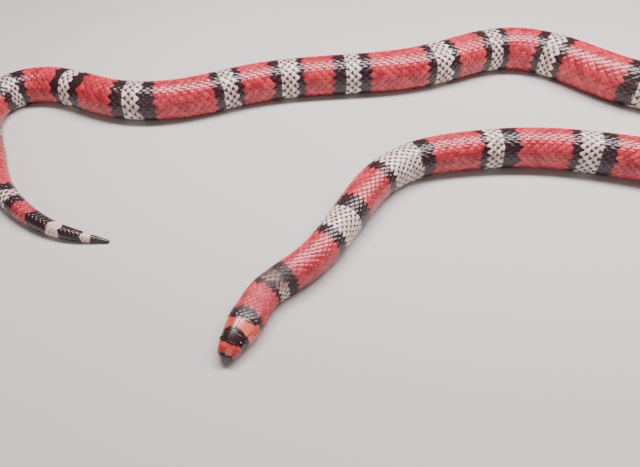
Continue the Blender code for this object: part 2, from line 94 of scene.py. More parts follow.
# From the snout, half width, crown, widest level, chin
HEAD_SECTIONS_MM = (
    (0.0, 0.60, 4.10, 3.60, 3.10), (0.4, 1.95, 5.10, 3.60, 2.15), (1.4, 3.15, 6.05, 3.60, 1.35),
    (3.4, 4.15, 7.10, 3.70, 0.60), (5.4, 4.65, 7.95, 3.85, 0.20), (7.6, 5.15, 8.60, 4.00, 0.05),
    (11.0, 6.05, 9.30, 4.20, 0.00), (15.5, 6.90, 9.95, 4.40, 0.00), (19.0, 7.05, 10.25, 4.50, 0.00),
    (23.0, 6.80, 10.60, 4.70, 0.00), (27.0, 6.75, 11.05, 4.90, 0.00),
)
HEAD_BACK_ROUNDNESS = 2.35

# %% Curves through a few stations
LINE_SAMPLES = 6000


def read_table(table, x, units=(1, 1)):
    """The value at x between the entries of a table of two columns, each in its own unit."""
    return np.interp(x, *(np.array(table) * units).T)


def smooth_step(low, high, x):
    """0 below low, 1 above high, and an even slope between them."""
    t = np.clip((np.asarray(x, float) - low) / (high - low), 0, 1)
    return t * t * (3 - 2 * t)


def monotone(xs, ys, x):
    """Smooth interpolation that never overshoots its stations."""
    xs, ys = np.asarray(xs, float), np.asarray(ys, float)
    step, rise = np.diff(xs), np.diff(ys)
    slope = rise / step
    tangent = np.concatenate([[slope[0]], np.zeros(len(xs) - 2), [slope[-1]]])
    for i in range(1, len(xs) - 1):
        if slope[i - 1] * slope[i] > 0:
            a, b = 2 * step[i] + step[i - 1], step[i] + 2 * step[i - 1]
            tangent[i] = (a + b) / (a / slope[i - 1] + b / slope[i])
    x = np.clip(np.asarray(x, float), xs[0], xs[-1])
    k = np.clip(np.searchsorted(xs, x, side="right") - 1, 0, len(xs) - 2)
    t, h = (x - xs[k]) / step[k], step[k]
    return (
        ys[k] * (1 + 2 * t) * (1 - t) ** 2
        + ys[k + 1] * t * t * (3 - 2 * t)
        + h * t * (1 - t) * (tangent[k] * (1 - t) - tangent[k + 1] * t)
    )


def smooth_curve(points):
    """The natural cubic spline through the points, resampled evenly: (points, their distances along it)."""
    p = np.array(points, float)
    t = np.concatenate([[0], np.cumsum(np.linalg.norm(np.diff(p, axis=0), axis=1))])
    h, n = np.diff(t), len(t)
    system, right = np.eye(n), np.zeros((n, 2))
    for i in range(1, n - 1):
        system[i, i - 1:i + 2] = h[i - 1], 2 * (h[i - 1] + h[i]), h[i]
        right[i] = 6 * ((p[i + 1] - p[i]) / h[i] - (p[i] - p[i - 1]) / h[i - 1])
    bend = np.linalg.solve(system, right)
    q = np.linspace(0, t[-1], LINE_SAMPLES)
    k = np.clip(np.searchsorted(t, q, side="right") - 1, 0, n - 2)
    step = h[k][:, None]
    before, after = (t[k + 1] - q)[:, None], (q - t[k])[:, None]
    curve = (
        (bend[k] * before**3 + bend[k + 1] * after**3) / (6 * step)
        + (p[k] / step - bend[k] * step / 6) * before
        + (p[k + 1] / step - bend[k + 1] * step / 6) * after
    )
    along = np.concatenate([[0], np.cumsum(np.linalg.norm(np.diff(curve, axis=0), axis=1))])
    even = np.linspace(0, along[-1], LINE_SAMPLES)
    return np.stack([np.interp(even, along, curve[:, i]) for i in (0, 1)], 1), even


# %% The spine's line and the body's sections
OUTLINE_SAMPLES = 3000


class Snake:
    """Places on the animal, read at any distance s from the tip of the snout."""

    def __init__(self):
        self.line, along = smooth_curve(np.array(SPINE_POINTS_MM) * MM)
        self.along = along + HEAD_LENGTH
        self.length = self.along[-1]
        self.vent = VENT_SHARE * self.length
        self.headings = np.unwrap(np.arctan2(*np.gradient(self.line, axis=0).T[::-1]))
        self.middle = np.zeros(2)
        self.middle = self.bounding_middle()

    def bounding_middle(self):
        """The middle of the box round the whole animal, seen from above."""
        s = np.linspace(0, self.length, OUTLINE_SAMPLES)
        rim = np.concatenate([self.place(s, side * self.section(s)[0], 0 * s) for side in (-1, 1)])
        return (rim.min(0) + rim.max(0))[:2] / 2

    def frame(self, s):
        """(point on the spine's line, direction towards the tail, the animal's left) at distances s."""
        s = np.asarray(s, float)
        heading = np.interp(s, self.along, self.headings)
        tailward = np.stack([np.cos(heading), np.sin(heading)], -1)
        point = np.stack([np.interp(s, self.along, self.line[:, i]) for i in (0, 1)], -1)
        point = point + tailward * np.minimum(s - HEAD_LENGTH, 0)[..., None]
        left = np.stack([tailward[..., 1], -tailward[..., 0]], -1)
        return point - self.middle, tailward, left

    def section(self, s):
        """(half width, crown, widest level, floor level, back roundness) at distances s."""
        s = np.asarray(s, float)
        head = np.array(HEAD_SECTIONS_MM) * MM
        share, width = np.array(WIDTHS).T
        trunk_half = monotone(share, width, s / self.length) * GREATEST_WIDTH / 2
        trunk_crown = 2 * trunk_half * HEIGHT_TO_WIDTH
        is_trunk = monotone((HEAD_ENDS_SHARE * HEAD_LENGTH, TRUNK_STARTS_SHARE * self.length), (0, 1), s)
        columns = [monotone(head[:, 0], head[:, i], s) for i in (1, 2, 3, 4)]
        trunk = [trunk_half, trunk_crown, trunk_crown * WIDEST_LEVEL, 0 * s]
        mixed = [h * (1 - is_trunk) + t * is_trunk for h, t in zip(columns, trunk)]
        return (*mixed, HEAD_BACK_ROUNDNESS * (1 - is_trunk) + BACK_ROUNDNESS * is_trunk)

    def ring(self, s, angles):
        """The section's points (across to the left, up) at s. The belly is at -90 degrees, the back at 90."""
        half, crown, widest, floor, roundness = self.section(s)
        c, d = np.cos(angles), np.sin(angles)
        power = np.where(d > 0, 2 / roundness, 2 / BELLY_ROUNDNESS)
        across = half * np.sign(c) * np.abs(c) ** power
        rise = np.abs(d) ** power
        up = np.where(d > 0, widest + (crown - widest) * rise,
                      np.maximum(widest - (widest - floor) * BELLY_CUT * rise, floor))
        return across, up

    def place(self, s, across, up):
        point, _, left = self.frame(s)
        flat = point + left * np.asarray(across)[..., None]
        return np.concatenate([flat, np.asarray(up)[..., None]], -1)


snake = Snake()
print("length", round(snake.length / MM, 1), "mm, vent at", round(snake.vent / MM, 1))

# %% [markdown]
# The photo looks down on the snake at 45 degrees from a little above it, through a wide lens. The camera
# gets that height, tilt and field of view, and stands where the spine's own measurements started. The floor
# is plain and pale. One long soft lamp hangs low over the front half of the body, as over a cage: it puts one
# bright glint on each scale and leaves the head and the far end a little darker. A weak lamp from the front
# keeps the sides from going black. A single point of light would give hard specks instead.
# %% Camera
CAMERA_HEIGHT = 0.185
CAMERA_TILT = 45
PHOTO_WIDTH_PX = 640
FOCAL_LENGTH_PX = 590
SENSOR_WIDTH = 36
NEAREST_SEEN = 0.01

camera = bpy.data.objects.new("camera", bpy.data.cameras.new("camera"))
bpy.context.scene.collection.objects.link(camera)
camera.location = (-snake.middle[0], -snake.middle[1], CAMERA_HEIGHT)
camera.rotation_euler = (math.radians(CAMERA_TILT), 0, 0)
camera.data.sensor_width = SENSOR_WIDTH
camera.data.lens = FOCAL_LENGTH_PX / PHOTO_WIDTH_PX * SENSOR_WIDTH
camera.data.clip_start = NEAREST_SEEN
bpy.context.scene.camera = camera

# %% Floor and light
FLOOR_SIDE = 12.0
FLOOR_COLOUR, FLOOR_ROUGHNESS = (0.57, 0.56, 0.535, 1), 0.85
# Of each lamp: its place, what it faces, its length and width, its watts and its colour
LAMPS = {
    "long lamp": ((0.09, 0.10, 0.44), (0.09, 0.05, 0), (0.75, 0.11), 7.8, (1.0, 0.915, 0.935)),
    "front fill": ((-0.35, -0.9, 0.55), (0, 0, 0), (0.7, 0.7), 2.2, (1.0, 0.93, 0.935)),
}
ROOM_COLOUR, ROOM_STRENGTH = (1.0, 0.92, 0.945, 1), 0.17


def add_lamp(name, place, aim, size, watts, colour):
    """A soft oblong lamp at a place, turned to face another and hidden from the camera."""
    lamp = bpy.data.objects.new(name, bpy.data.lights.new(name, "AREA"))
    bpy.context.scene.collection.objects.link(lamp)
    lamp.location = place
    lamp.rotation_euler = (Vector(aim) - Vector(place)).to_track_quat("-Z", "Y").to_euler()
    lamp.data.shape = "RECTANGLE"
    lamp.data.size, lamp.data.size_y = size
    lamp.data.energy = watts
    lamp.data.color = colour
    lamp.visible_camera = False


def add_floor():
    mesh = bpy.data.meshes.new("floor")
    corners = [(x * FLOOR_SIDE / 2, y * FLOOR_SIDE / 2, 0) for x, y in ((-1, -1), (1, -1), (1, 1), (-1, 1))]
    mesh.from_pydata(corners, [], [(0, 1, 2, 3)])
    floor = bpy.data.objects.new("floor", mesh)
    bpy.context.scene.collection.objects.link(floor)
    material = bpy.data.materials.new("pale floor")
    material.use_nodes = True
    shader = material.node_tree.nodes["Principled BSDF"]
    shader.inputs["Base Color"].default_value = FLOOR_COLOUR
    shader.inputs["Roughness"].default_value = FLOOR_ROUGHNESS
    mesh.materials.append(material)


add_floor()
for lamp_name, lamp_values in LAMPS.items():
    add_lamp(lamp_name, *lamp_values)
world = bpy.data.worlds.new("studio")
world.use_nodes = True
world.node_tree.nodes["Background"].inputs["Color"].default_value = ROOM_COLOUR
world.node_tree.nodes["Background"].inputs["Strength"].default_value = ROOM_STRENGTH
bpy.context.scene.world = world
print("camera at", [round(v, 3) for v in camera.location], "and", len(LAMPS), "lamps")

# %% [markdown]
# Every scale has to lie on the skin and follow its curve, so the skin gets a map. It is a fine table of
# places and outward directions, one entry for each step along the body and each share of the way round:
# 0 is the middle of the back, 1 or -1 the middle of the belly, and positive is the animal's own left.
# A shrinkwrap modifier could press flat pieces on to the body too, but the map is exact, quick for
# thousands of pieces, and the coat's markings can be written in the same two numbers.
# %% The skin's map
COAT_DEPTH, HEAD_COAT_DEPTH = 0.30 * MM, 0.05 * MM
# The most of the half width that the coat takes, and where it thickens behind the head
COAT_SHARE = 0.05
COAT_THICKENS = (14 * MM, 24 * MM)
# From the snout, height
MOUTH_LINE_MM = ((-2, 2.75), (1, 2.75), (4.5, 2.65), (8, 2.95), (12, 3.00), (15, 3.10), (17, 3.75))
LIP_OVERHANG, LIP_EDGE = 0.22 * MM, 0.15 * MM
JAW_ENDS = 17.0 * MM
FINE_STEP, STEP = 0.1 * MM, 0.5 * MM
FINE_UNTIL = 30 * MM
MAP_COLUMNS = 257
RING_ANGLES = np.linspace(math.pi / 2, -math.pi / 2, 361)


def mouth_height(s):
    return read_table(MOUTH_LINE_MM, s, (MM, MM))


class Skin:
    """Places and outward directions on the skin, at s along the body and f, a share of the way round."""

    def __init__(self):
        fine = np.arange(0, FINE_UNTIL, FINE_STEP)
        self.s = np.concatenate([fine, np.arange(FINE_UNTIL, snake.length, STEP), [snake.length]])
        s = self.s[:, None]
        across, up = snake.ring(s, RING_ANGLES[None])
        walked = np.cumsum(np.hypot(np.diff(across), np.diff(up)), axis=1)
        walked = np.concatenate([0 * s, walked], axis=1)
        self.half_girth = walked[:, -1]
        half_f = np.linspace(0, 1, MAP_COLUMNS // 2 + 1)
        across, self.side_up = (
            np.array([np.interp(half_f, way / way[-1], values) for way, values in zip(walked, table)])
            for table in (across, up)
        )
        across = np.concatenate([-across[:, :0:-1], across], axis=1)
        up = np.concatenate([self.side_up[:, :0:-1], self.side_up], axis=1)
        surface = snake.place(s, across, up)
        self.outward = self.normals(surface)
        self.places = surface - self.outward * self.depth(s, up)[..., None]
        self.stretch = np.linalg.norm(np.gradient(self.places, self.s, axis=0), axis=2)

    def normals(self, surface):
        along = np.gradient(surface, self.s, axis=0)
        wrapped = np.concatenate([surface[:, -2:-1], surface, surface[:, 1:2]], axis=1)
        outward = np.cross(wrapped[:, 2:] - wrapped[:, :-2], along)
        return outward / np.linalg.norm(outward, axis=2, keepdims=True)

    def depth(self, s, up):
        """How far the skin lies inside the solids: by the coat's depth, and more along the lower jaw."""
        coat = np.minimum(COAT_DEPTH, COAT_SHARE * snake.section(s)[0])
        coat = HEAD_COAT_DEPTH + (coat - HEAD_COAT_DEPTH) * smooth_step(*COAT_THICKENS, s)
        below_mouth = smooth_step(0, LIP_EDGE, mouth_height(s) - up)
        return coat + LIP_OVERHANG * below_mouth * (1 - smooth_step(JAW_ENDS - 1 * MM, JAW_ENDS + 2 * MM, s))

    def read(self, table, s, f):
        """A value of the map between its entries."""
        rows, columns = table.shape[:2]
        i = np.interp(s, self.s, np.arange(rows))
        j = (np.mod(f + 1, 2)) / 2 * (columns - 1)
        i0, j0 = np.minimum(i.astype(int), rows - 2), np.minimum(j.astype(int), columns - 2)
        a, b = i - i0, j - j0
        if table.ndim == 3:
            a, b = a[..., None], b[..., None]
        near, far = (table[i, j0] * (1 - b) + table[i, j0 + 1] * b for i in (i0, i0 + 1))
        return near * (1 - a) + far * a

    def at(self, s, f, lift=0.0):
        """The place that far above the skin at s and f. Nothing goes below the floor."""
        s, f = np.broadcast_arrays(np.asarray(s, float), np.asarray(f, float))
        lift = np.asarray(lift, float)[..., None]
        place = self.read(self.places, s, f) + self.read(self.outward, s, f) * lift
        place[..., 2] = np.maximum(place[..., 2], 0)
        return place

    def girth(self, s):
        """From the middle of the back to the middle of the belly, over the skin, at s."""
        return np.interp(s, self.s, self.half_girth)

    def share_at_height(self, s, height):
        """The share of the way round at which the left side has that height, at s."""
        up = self.side_up[np.argmin(np.abs(self.s - s))]
        return np.interp(-height, -up, np.linspace(0, 1, len(up)))


skin_map = Skin()
half_girth = float(skin_map.girth(snake.length / 2))
print("skin map", skin_map.places.shape, "half girth at mid-body", round(half_girth / MM, 1), "mm")

# %% [markdown]
# The markings are rings: red ones, parted by black, cream and black again. Their edges were read off the
# photo and stand here as distances from the snout; the stretch that the photo doesn't show repeats the rings
# on either side of it. One function answers, for any place on the animal, how black, cream, tan or orange it
# is. Skin, scales and shields all ask it, so the markings run through them unbroken. An image painted
# on to the model could do that too, but it would blur close up and couldn't be read or changed here.
# %% Markings of the body
# Where the rings end in mm from the snout, in sets of four: red, black, a light ring, black
SETS_TO_THE_BEND_MM = (
    (31.2, 34.2, 39.2, 43.6), (66.3, 71.5, 84.3, 92.8), (112.6, 118.3, 138.5, 146.0),
    (171.0, 174.0, 182.0, 190.0), (215.5, 220.7, 230.0, 236.7),
)
UNSEEN_BEND_ENDS_MM = 479.5
UNSEEN_SETS = 5
# One unseen set as shares of its length
UNSEEN_SET = (0.545, 0.67, 0.865, 1.0)
SETS_TO_THE_TAIL_MM = (
    (511.6, 517.5, 527.0, 533.0), (553.0, 558.0, 567.0, 572.0), (590.0, 595.0, 604.0, 609.0),
    (640.7, 646.9, 654.5, 661.5), (678.8, 682.9, 692.3, 697.7), (715.3, 718.6, 727.5, 732.0),
    (760.7, 768.0, 777.0, 782.7), (801.3, 807.8, 816.4, 820.6), (840.8, 846.8, 855.2, 862.0),
    (885.0, 889.5, 896.5, 901.0), (941.5, 946.0, 952.0, 957.0), (966.5, 978.0, 983.6, 993.6),
)
LAST_RINGS_MM = ((996.9, "pale"), (1006.0, "black"))


def list_rings():
    """Each ring as the distance at which it ends, in mm from the snout, and its colour."""
    start = SETS_TO_THE_BEND_MM[-1][-1]
    pitch = (UNSEEN_BEND_ENDS_MM - start) / UNSEEN_SETS
    unseen = [[start + (k + share) * pitch for share in UNSEEN_SET] for k in range(UNSEEN_SETS)]
    sets = [*SETS_TO_THE_BEND_MM, *unseen, *SETS_TO_THE_TAIL_MM]
    lights = ["tan", *["cream"] * (len(sets) - 2), "pale"]
    rings = []
    for ends, light in zip(sets, lights):
        rings += zip(ends, ("red", "black", light, "black"))
    return [*rings, *LAST_RINGS_MM]


RINGS = list_rings()
RING_ENDS = np.array([end for end, _ in RINGS]) * MM
print(len(RINGS), "rings,", sum(colour == "red" for _, colour in RINGS), "of them red")

# %% Markings of the head
# Edges of the head's patches in mm from the snout, at shares of the way round from the crown to the chin
NOSE_BACK_MM = ((0.0, 0.95), (0.2, 1.0), (0.4, 1.25), (0.7, 1.6), (1.0, 1.4))
CAP_FRONT_MM = ((0.0, 3.9), (0.1, 4.2), (0.2, 4.5), (0.33, 4.9), (0.5, 5.1), (0.63, 4.9), (1.0, 5.6))
CAP_BACK_MM = ((0.0, 10.8), (0.08, 10.6), (0.15, 10.3), (0.28, 9.4), (0.4, 9.1), (0.55, 8.9), (0.68, 8.7),
               (1.0, 6.6))
NAPE_FRONT_MM = ((0.0, 13.9), (0.1, 13.8), (0.2, 14.1), (0.36, 15.1), (0.53, 15.7), (0.75, 16.6), (1.0, 16.9))
NAPE_BACK_MM = ((0.0, 19.3), (0.15, 19.3), (0.28, 18.7), (0.39, 17.7), (0.5, 17.2), (0.75, 16.9), (1.0, 16.8))
EDGE_SOFTNESS = 0.16 * MM
# Waves in the edges of the head's patches: how far, how many round the head, and where they start
EDGE_WAVES = ((0.20 * MM, 5, 2.1), (0.11 * MM, 13, 0.7))
# How far the light colours reach under the black
UNDER_BLACK = 1.5 * MM
# The snout is a deeper red with black mixed in, partly its own smudged mottling and partly painted shade.
# The collar turns from red on the crown to orange at the sides, and the first light ring from tan to cream,
# each between two shares of the way round.
SNOUT_ORANGE, SNOUT_SMUDGE_AND_SHADE = 0.40, 0.18
COLLAR_ORANGE, COLLAR_TURNS = (0.5, 1.0), (0.12, 0.36)
TAN_TURNS_CREAM = (0.22, 0.42)
# Towards the middle of the belly red fades by this much, between two shares of the way round
BELLY_PALENESS, BELLY_TURNS = 0.38, (0.80, 0.97)


def from_the_back(f):
    """How far round from the middle of the back, the same on both sides: 0 there and 1 under the belly."""
    return np.abs(np.mod(np.asarray(f, float) + 1, 2) - 1)


def belly_paleness(f):
    return BELLY_PALENESS * smooth_step(*BELLY_TURNS, from_the_back(f))


def past(edge, s):
    """0 before an edge of the markings, 1 past it."""
    return smooth_step(-EDGE_SOFTNESS, EDGE_SOFTNESS, s - edge)


def between(start, end, s):
    return past(start, s) * (1 - past(end, s))


def markings(s, f, wander=0.0):
    """How black, cream, tan, pale and orange the animal is at s and f, as shares, with red for the rest.

    Black is painted last, so the light colours reach a little way under it and never meet red.
    """
    s = np.asarray(s, float) + wander
    away = from_the_back(f)
    shares = dict.fromkeys(("black", "cream", "tan", "pale"), 0 * s)
    for start, end, (_, colour) in zip([0, *RING_ENDS], RING_ENDS, RINGS):
        reach = 0 if colour == "black" else UNDER_BLACK
        if colour != "red":
            shares[colour] = shares[colour] + between(start - reach, end + reach, s)
    to_cream = shares["tan"] * smooth_step(*TAN_TURNS_CREAM, away)
    shares["cream"] = shares["cream"] + to_cream
    shares["tan"] = shares["tan"] - to_cream
    waves = sum(far * np.sin(turns * math.pi * np.asarray(f) + start) for far, turns, start in EDGE_WAVES)
    nose, cap_front, cap_back, nape_front, nape_back = (
        read_table(edge, away) * MM + waves
        for edge in (NOSE_BACK_MM, CAP_FRONT_MM, CAP_BACK_MM, NAPE_FRONT_MM, NAPE_BACK_MM)
    )
    on_snout = s < cap_front
    collar = COLLAR_ORANGE[0] + (COLLAR_ORANGE[1] - COLLAR_ORANGE[0]) * smooth_step(*COLLAR_TURNS, away)
    shares["orange"] = (1 - past((nape_front + nape_back) / 2, s)) * np.where(on_snout, SNOUT_ORANGE, collar)
    bands = (1 - past(nose, s), between(cap_front, cap_back, s), between(nape_front, nape_back, s))
    # The snout's black share is partly its own smudges and partly painted shade
    for band in (*bands, SNOUT_SMUDGE_AND_SHADE * on_snout):
        shares["black"] = np.maximum(shares["black"], band)
    return shares


# %% [markdown]
# The finish of a milk snake is smooth, glossy horn over a thin layer of colour. Each material here is one
# procedural shader: it reads the shares of black, cream, tan and orange that the mesh carries, breaks each
# colour up with noise, darkens the hind tip of each scale, paints shade on its sides and underside and on the
# skin between the scales, and lays a thin clear coat over it all. The shares sit in the mesh as attributes,
# because the markings belong to the place on the animal and not to its surroundings; the painted shade is
# carried the same way.
# %% Node helpers


class Tree:
    """A short way to add shader nodes and join them."""

    def __init__(self, name):
        self.material = bpy.data.materials.new(name)
        self.material.use_nodes = True
        self.nodes, self.links = self.material.node_tree.nodes, self.material.node_tree.links
        self.shader = self.nodes["Principled BSDF"]

    def add(self, kind, settings=None, **inputs):
        node = self.nodes.new("ShaderNode" + kind)
        for key, value in (settings or {}).items():
            setattr(node, key, value)
        for key, value in inputs.items():
            self.feed(node, key.replace("_", " "), value)
        return node

    def feed(self, node, key, value):
        socket = node.inputs[int(key[5:])] if key.startswith("input") else node.inputs[key]
        if isinstance(value, bpy.types.NodeSocket):
            self.links.new(value, socket)
        else:
            socket.default_value = value

    def value(self, name):
        """A share that the mesh carries."""
        return self.add("Attribute", {"attribute_name": name}).outputs["Fac"]

    def mix(self, share, a, b):
        return self.add("Mix", {"data_type": "RGBA"}, input0=share, input6=a, input7=b).outputs[2]

    def math(self, operation, a, b):
        return self.add("Math", {"operation": operation}, input0=a, input1=b).outputs[0]

    def noise(self, scale, detail=2.0, roughness=0.5):
        place = self.add("TexCoord").outputs["Object"]
        noise = self.add("TexNoise", Vector=place, Scale=scale, Detail=detail, Roughness=roughness)
        return noise.outputs["Fac"]

    def spread(self, value, low, high, to_low, to_high):
        ends = dict(From_Min=low, From_Max=high, To_Min=to_low, To_Max=to_high)
        return self.add("MapRange", Value=value, **ends).outputs["Result"]

    def finish(self, **values):
        """Sets the shader's own sockets and gives the material."""
        for key, value in values.items():
            self.feed(self.shader, key.replace("_", " "), value)
        return self.material


# %% The scales' and shields' finish
RED_DEEP, RED_BRIGHT = (0.34, 0.014, 0.026, 1), (0.60, 0.046, 0.066, 1)
ORANGE_DEEP, ORANGE_BRIGHT = (0.48, 0.044, 0.023, 1), (0.82, 0.175, 0.085, 1)
CREAM_DULL, CREAM_BRIGHT = (0.54, 0.40, 0.35, 1), (0.90, 0.74, 0.66, 1)
TAN_DULL, TAN_BRIGHT = (0.10, 0.045, 0.040, 1), (0.27, 0.155, 0.125, 1)
# The blacks are tinted purplish red: partly their own colour, partly a painted reflection of warm
# surroundings
BLACK_WARM, BLACK_BLUE = (0.030, 0.007, 0.009, 1), (0.022, 0.009, 0.014, 1)
# Dark of the scales' hind tips, also used as painted shade on their sides and undersides and on the skin
# between them
TIP_AND_SHADE_DARK = (0.014, 0.008, 0.010, 1)
BLOTCH_SCALE, FLECK_SCALE, GRAIN_SCALE = 260, 1400, 2600
GRAIN_DEPTH = 0.02 * MM
DULL_NECK_ROUGHER = 0.38
# Where most of a noise's values lie: of the mix that varies each colour, and of the flecks
VARY_RANGE, FLECK_RANGE = (0.25, 0.75), (0.3, 0.7)
# How near its tip a scale darkens on light rings and on red: 0 by its middle, 1 at the very tip
LIGHT_TIP, RED_TIP = (0.18, 0.42), (0.45, 1.0)


def snake_finish(name, tips=(0.0, 0.0), darken=0.0, roughness=(0.20, 0.32), coat=0.12):
    """Glossy horn in the snake's colours. Tips is how much hind tips, and painted shade on sides and
    undersides, darken on light rings and on red; darken is painted shade over all.
    """
    tree = Tree(name)
    blotch = tree.noise(BLOTCH_SCALE, 3.0)
    fleck = tree.noise(FLECK_SCALE, 2.0, 0.6)
    chance = tree.value("chance")
    vary = tree.math("MULTIPLY", tree.math("ADD", blotch, chance), 0.5)
    vary = tree.spread(vary, *VARY_RANGE, 0.0, 1.0)
    colour = tree.mix(vary, RED_DEEP, RED_BRIGHT)
    colour = tree.mix(tree.value("pale"), colour, CREAM_BRIGHT)
    for share, deep, bright in (("orange", ORANGE_DEEP, ORANGE_BRIGHT), ("tan", TAN_DULL, TAN_BRIGHT),
                                ("cream", CREAM_DULL, CREAM_BRIGHT)):
        colour = tree.mix(tree.value(share), colour, tree.mix(vary, deep, bright))
    # The tip value holds the hind tips' own dark and the painted shade on the scales' sides and undersides
    tip = tree.math("ADD", tree.value("tip"), tree.spread(fleck, *FLECK_RANGE, -0.12, 0.12))
    light = tree.math("MAXIMUM", tree.value("cream"), tree.value("tan"))
    on_light = tree.math("MULTIPLY", tree.spread(tip, *LIGHT_TIP, 0.0, tips[0]), light)
    on_red = tree.spread(tip, *RED_TIP, 0.0, tips[1])
    colour = tree.mix(tree.math("MAXIMUM", on_light, on_red), colour, TIP_AND_SHADE_DARK)
    black = tree.mix(blotch, BLACK_WARM, BLACK_BLUE)
    colour = tree.mix(tree.value("black"), colour, black)
    # Painted shade: darken mixes the whole colour towards the dark
    if darken:
        colour = tree.mix(darken, colour, TIP_AND_SHADE_DARK)
    duller = tree.spread(tree.value("dull"), 0.0, 1.0, 0.0, DULL_NECK_ROUGHER)
    rough = tree.math("ADD", tree.spread(fleck, *FLECK_RANGE, *roughness), duller)
    grain = tree.noise(GRAIN_SCALE, 2.0, 0.6)
    bump = tree.add("Bump", Height=grain, Distance=GRAIN_DEPTH, Strength=0.35).outputs["Normal"]
    return tree.finish(Base_Color=colour, Roughness=rough, Specular_IOR_Level=0.55, Coat_Weight=coat,
                       Coat_Roughness=0.14, Normal=bump)


# Hind tips darken in their own colour; the same values paint shade on each scale's sides and underside
scale_finish = snake_finish("glossy scales", tips=(0.96, 0.72))
shield_finish = snake_finish("head shields", coat=0.25)
# Painted shade: the skin between the scales is darkened by 0.55, as shade in the gaps
skin_finish = snake_finish("skin between the scales", darken=0.55, roughness=(0.4, 0.55), coat=0.05)
print("finishes:", [finish.name for finish in (scale_finish, shield_finish, skin_finish)])

# %% [markdown]
# All pieces are made the same way: numpy works out the corners of every plate at once, and one function
# turns them into a mesh with its attributes. Making thousands of objects and joining them would take minutes;
# this takes seconds. Colours are attributes on the corners. The map named OFBake gives each scale a small
# patch of its own at its root's place on the unrolled skin, so that each can be painted from its own spot.
# %% From arrays to a piece
PATCH_SIDE = 0.003
SHARP_ABOVE_DEGREES = 48
# How pale the two light rings near the tip of the tail are
PALE_RING = 0.7
# The neck is duller than the rest: distances between which it sets in, and ends
DULL_NECK_MM = ((15.0, 20.0), (42.0, 48.0))


def build_piece(name, vertices, face_groups, values, material, patches=None):
    """One piece from arrays. Values are attributes, one number a corner; patches are its OFBake places."""
    mesh = bpy.data.meshes.new(name)
    mesh.vertices.add(len(vertices))
    mesh.vertices.foreach_set("co", np.asarray(vertices, np.float32).ravel())
    corners = np.concatenate([group.ravel() for group in face_groups])
    sizes = np.concatenate([np.full(len(group), group.shape[1]) for group in face_groups])
    starts = np.concatenate([[0], np.cumsum(sizes)[:-1]])
    mesh.loops.add(len(corners))
    mesh.loops.foreach_set("vertex_index", corners.astype(np.int32))
    mesh.polygons.add(len(sizes))
    mesh.polygons.foreach_set("loop_start", starts.astype(np.int32))
    mesh.update(calc_edges=True)
    for key, numbers in values.items():
        attribute = mesh.attributes.new(key, "FLOAT", "POINT")
        attribute.data.foreach_set("value", np.asarray(numbers, np.float32).ravel())
    if patches is not None:
        places = np.asarray(patches, np.float32)[corners]
        mesh.uv_layers.new(name="OFBake").data.foreach_set("uv", places.ravel())
    mesh.materials.append(material)
    mesh.shade_smooth()
    mesh.set_sharp_from_angle(angle=math.radians(SHARP_ABOVE_DEGREES))
    piece = bpy.data.objects.new(name, mesh)
    bpy.context.scene.collection.objects.link(piece)
    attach(piece, "root")
    print(name, len(vertices), "vertices", int((sizes - 2).sum()), "triangles")
    return piece


def unrolled(s, f):
    """Where a place of the animal lies on its unrolled skin, cut open under the belly."""
    return np.stack([s / snake.length, (f + 1) / 2], -1)


def all_values(s, f, tip=0.0, chance=0.5, pale=0.0, black=0.0, wander=0.0):
    """The attributes that the finish reads, for places at s and f."""
    found = markings(s, f, wander)
    found["pale"] = np.maximum(PALE_RING * found["pale"], pale)
    found["black"] = np.maximum(found["black"], black)
    sets_in, ends = np.array(DULL_NECK_MM) * MM
    found |= {"dull": smooth_step(*sets_in, s) * (1 - smooth_step(*ends, s)), "tip": tip, "chance": chance}
    return {key: np.broadcast_to(value, found["pale"].shape) for key, value in found.items()}


def build_on_skin(name, slot, vertices, face_groups, s, f, material, **known):
    """A piece whose values and patches follow from the s and f of its corners."""
    s, f = np.ravel(s), np.ravel(f)
    values = all_values(s, f, **known)
    return build_piece(name, vertices, face_groups, values, material, unrolled(s, f))


def grid_quads(rows, columns, tube=True, closed=False):
    """The faces between rows of corners. Rows of a tube are rings; closed joins the last to the first."""
    i, j = np.indices((rows if closed else rows - 1, columns if tube else columns - 1)).reshape(2, -1)
    near, far, after = i * columns, (i + 1) % rows * columns, (j + 1) % columns
    return np.stack([near + j, near + after, far + after, far + j], 1)


def tube_faces(rows, columns):
    """The faces of a tube of rings with its two ends closed."""
    ring = np.arange(columns)
    return [grid_quads(rows, columns), np.stack([ring[::-1], (rows - 1) * columns + ring])]


# %% [markdown]
# The skin is one closed tube from the snout to the tip of the tail, so no seam can show between the solids
# that it stands for. It is fine at the head, where it sinks in along the mouth, at the nostrils and round
# each eye, and coarser behind, where the scales hide it. It lies inside the solids by the depth of the coat.
# Its colour is darkened all over as painted shade between the scales, and painted black as shade where it
# sinks in.
# %% Places of the eyes and nostrils
EYE_FROM_SNOUT = 6.4 * MM
EYE_HEIGHT = 6.2 * MM
EYE_RADIUS = 1.75 * MM
EYE_PROUD = 0.45 * MM
NOSTRIL_FROM_SNOUT = 1.80 * MM
NOSTRIL_HEIGHT = 4.90 * MM
NOSTRIL_RADIUS = 0.36 * MM

EYE_SHARE = skin_map.share_at_height(EYE_FROM_SNOUT, EYE_HEIGHT)
NOSTRIL_SHARE = skin_map.share_at_height(NOSTRIL_FROM_SNOUT, NOSTRIL_HEIGHT)
EYE_OPENING = math.sqrt(EYE_RADIUS**2 - (EYE_RADIUS - EYE_PROUD) ** 2)
QUARTER_RING = np.linspace(0, math.pi / 2, 90)


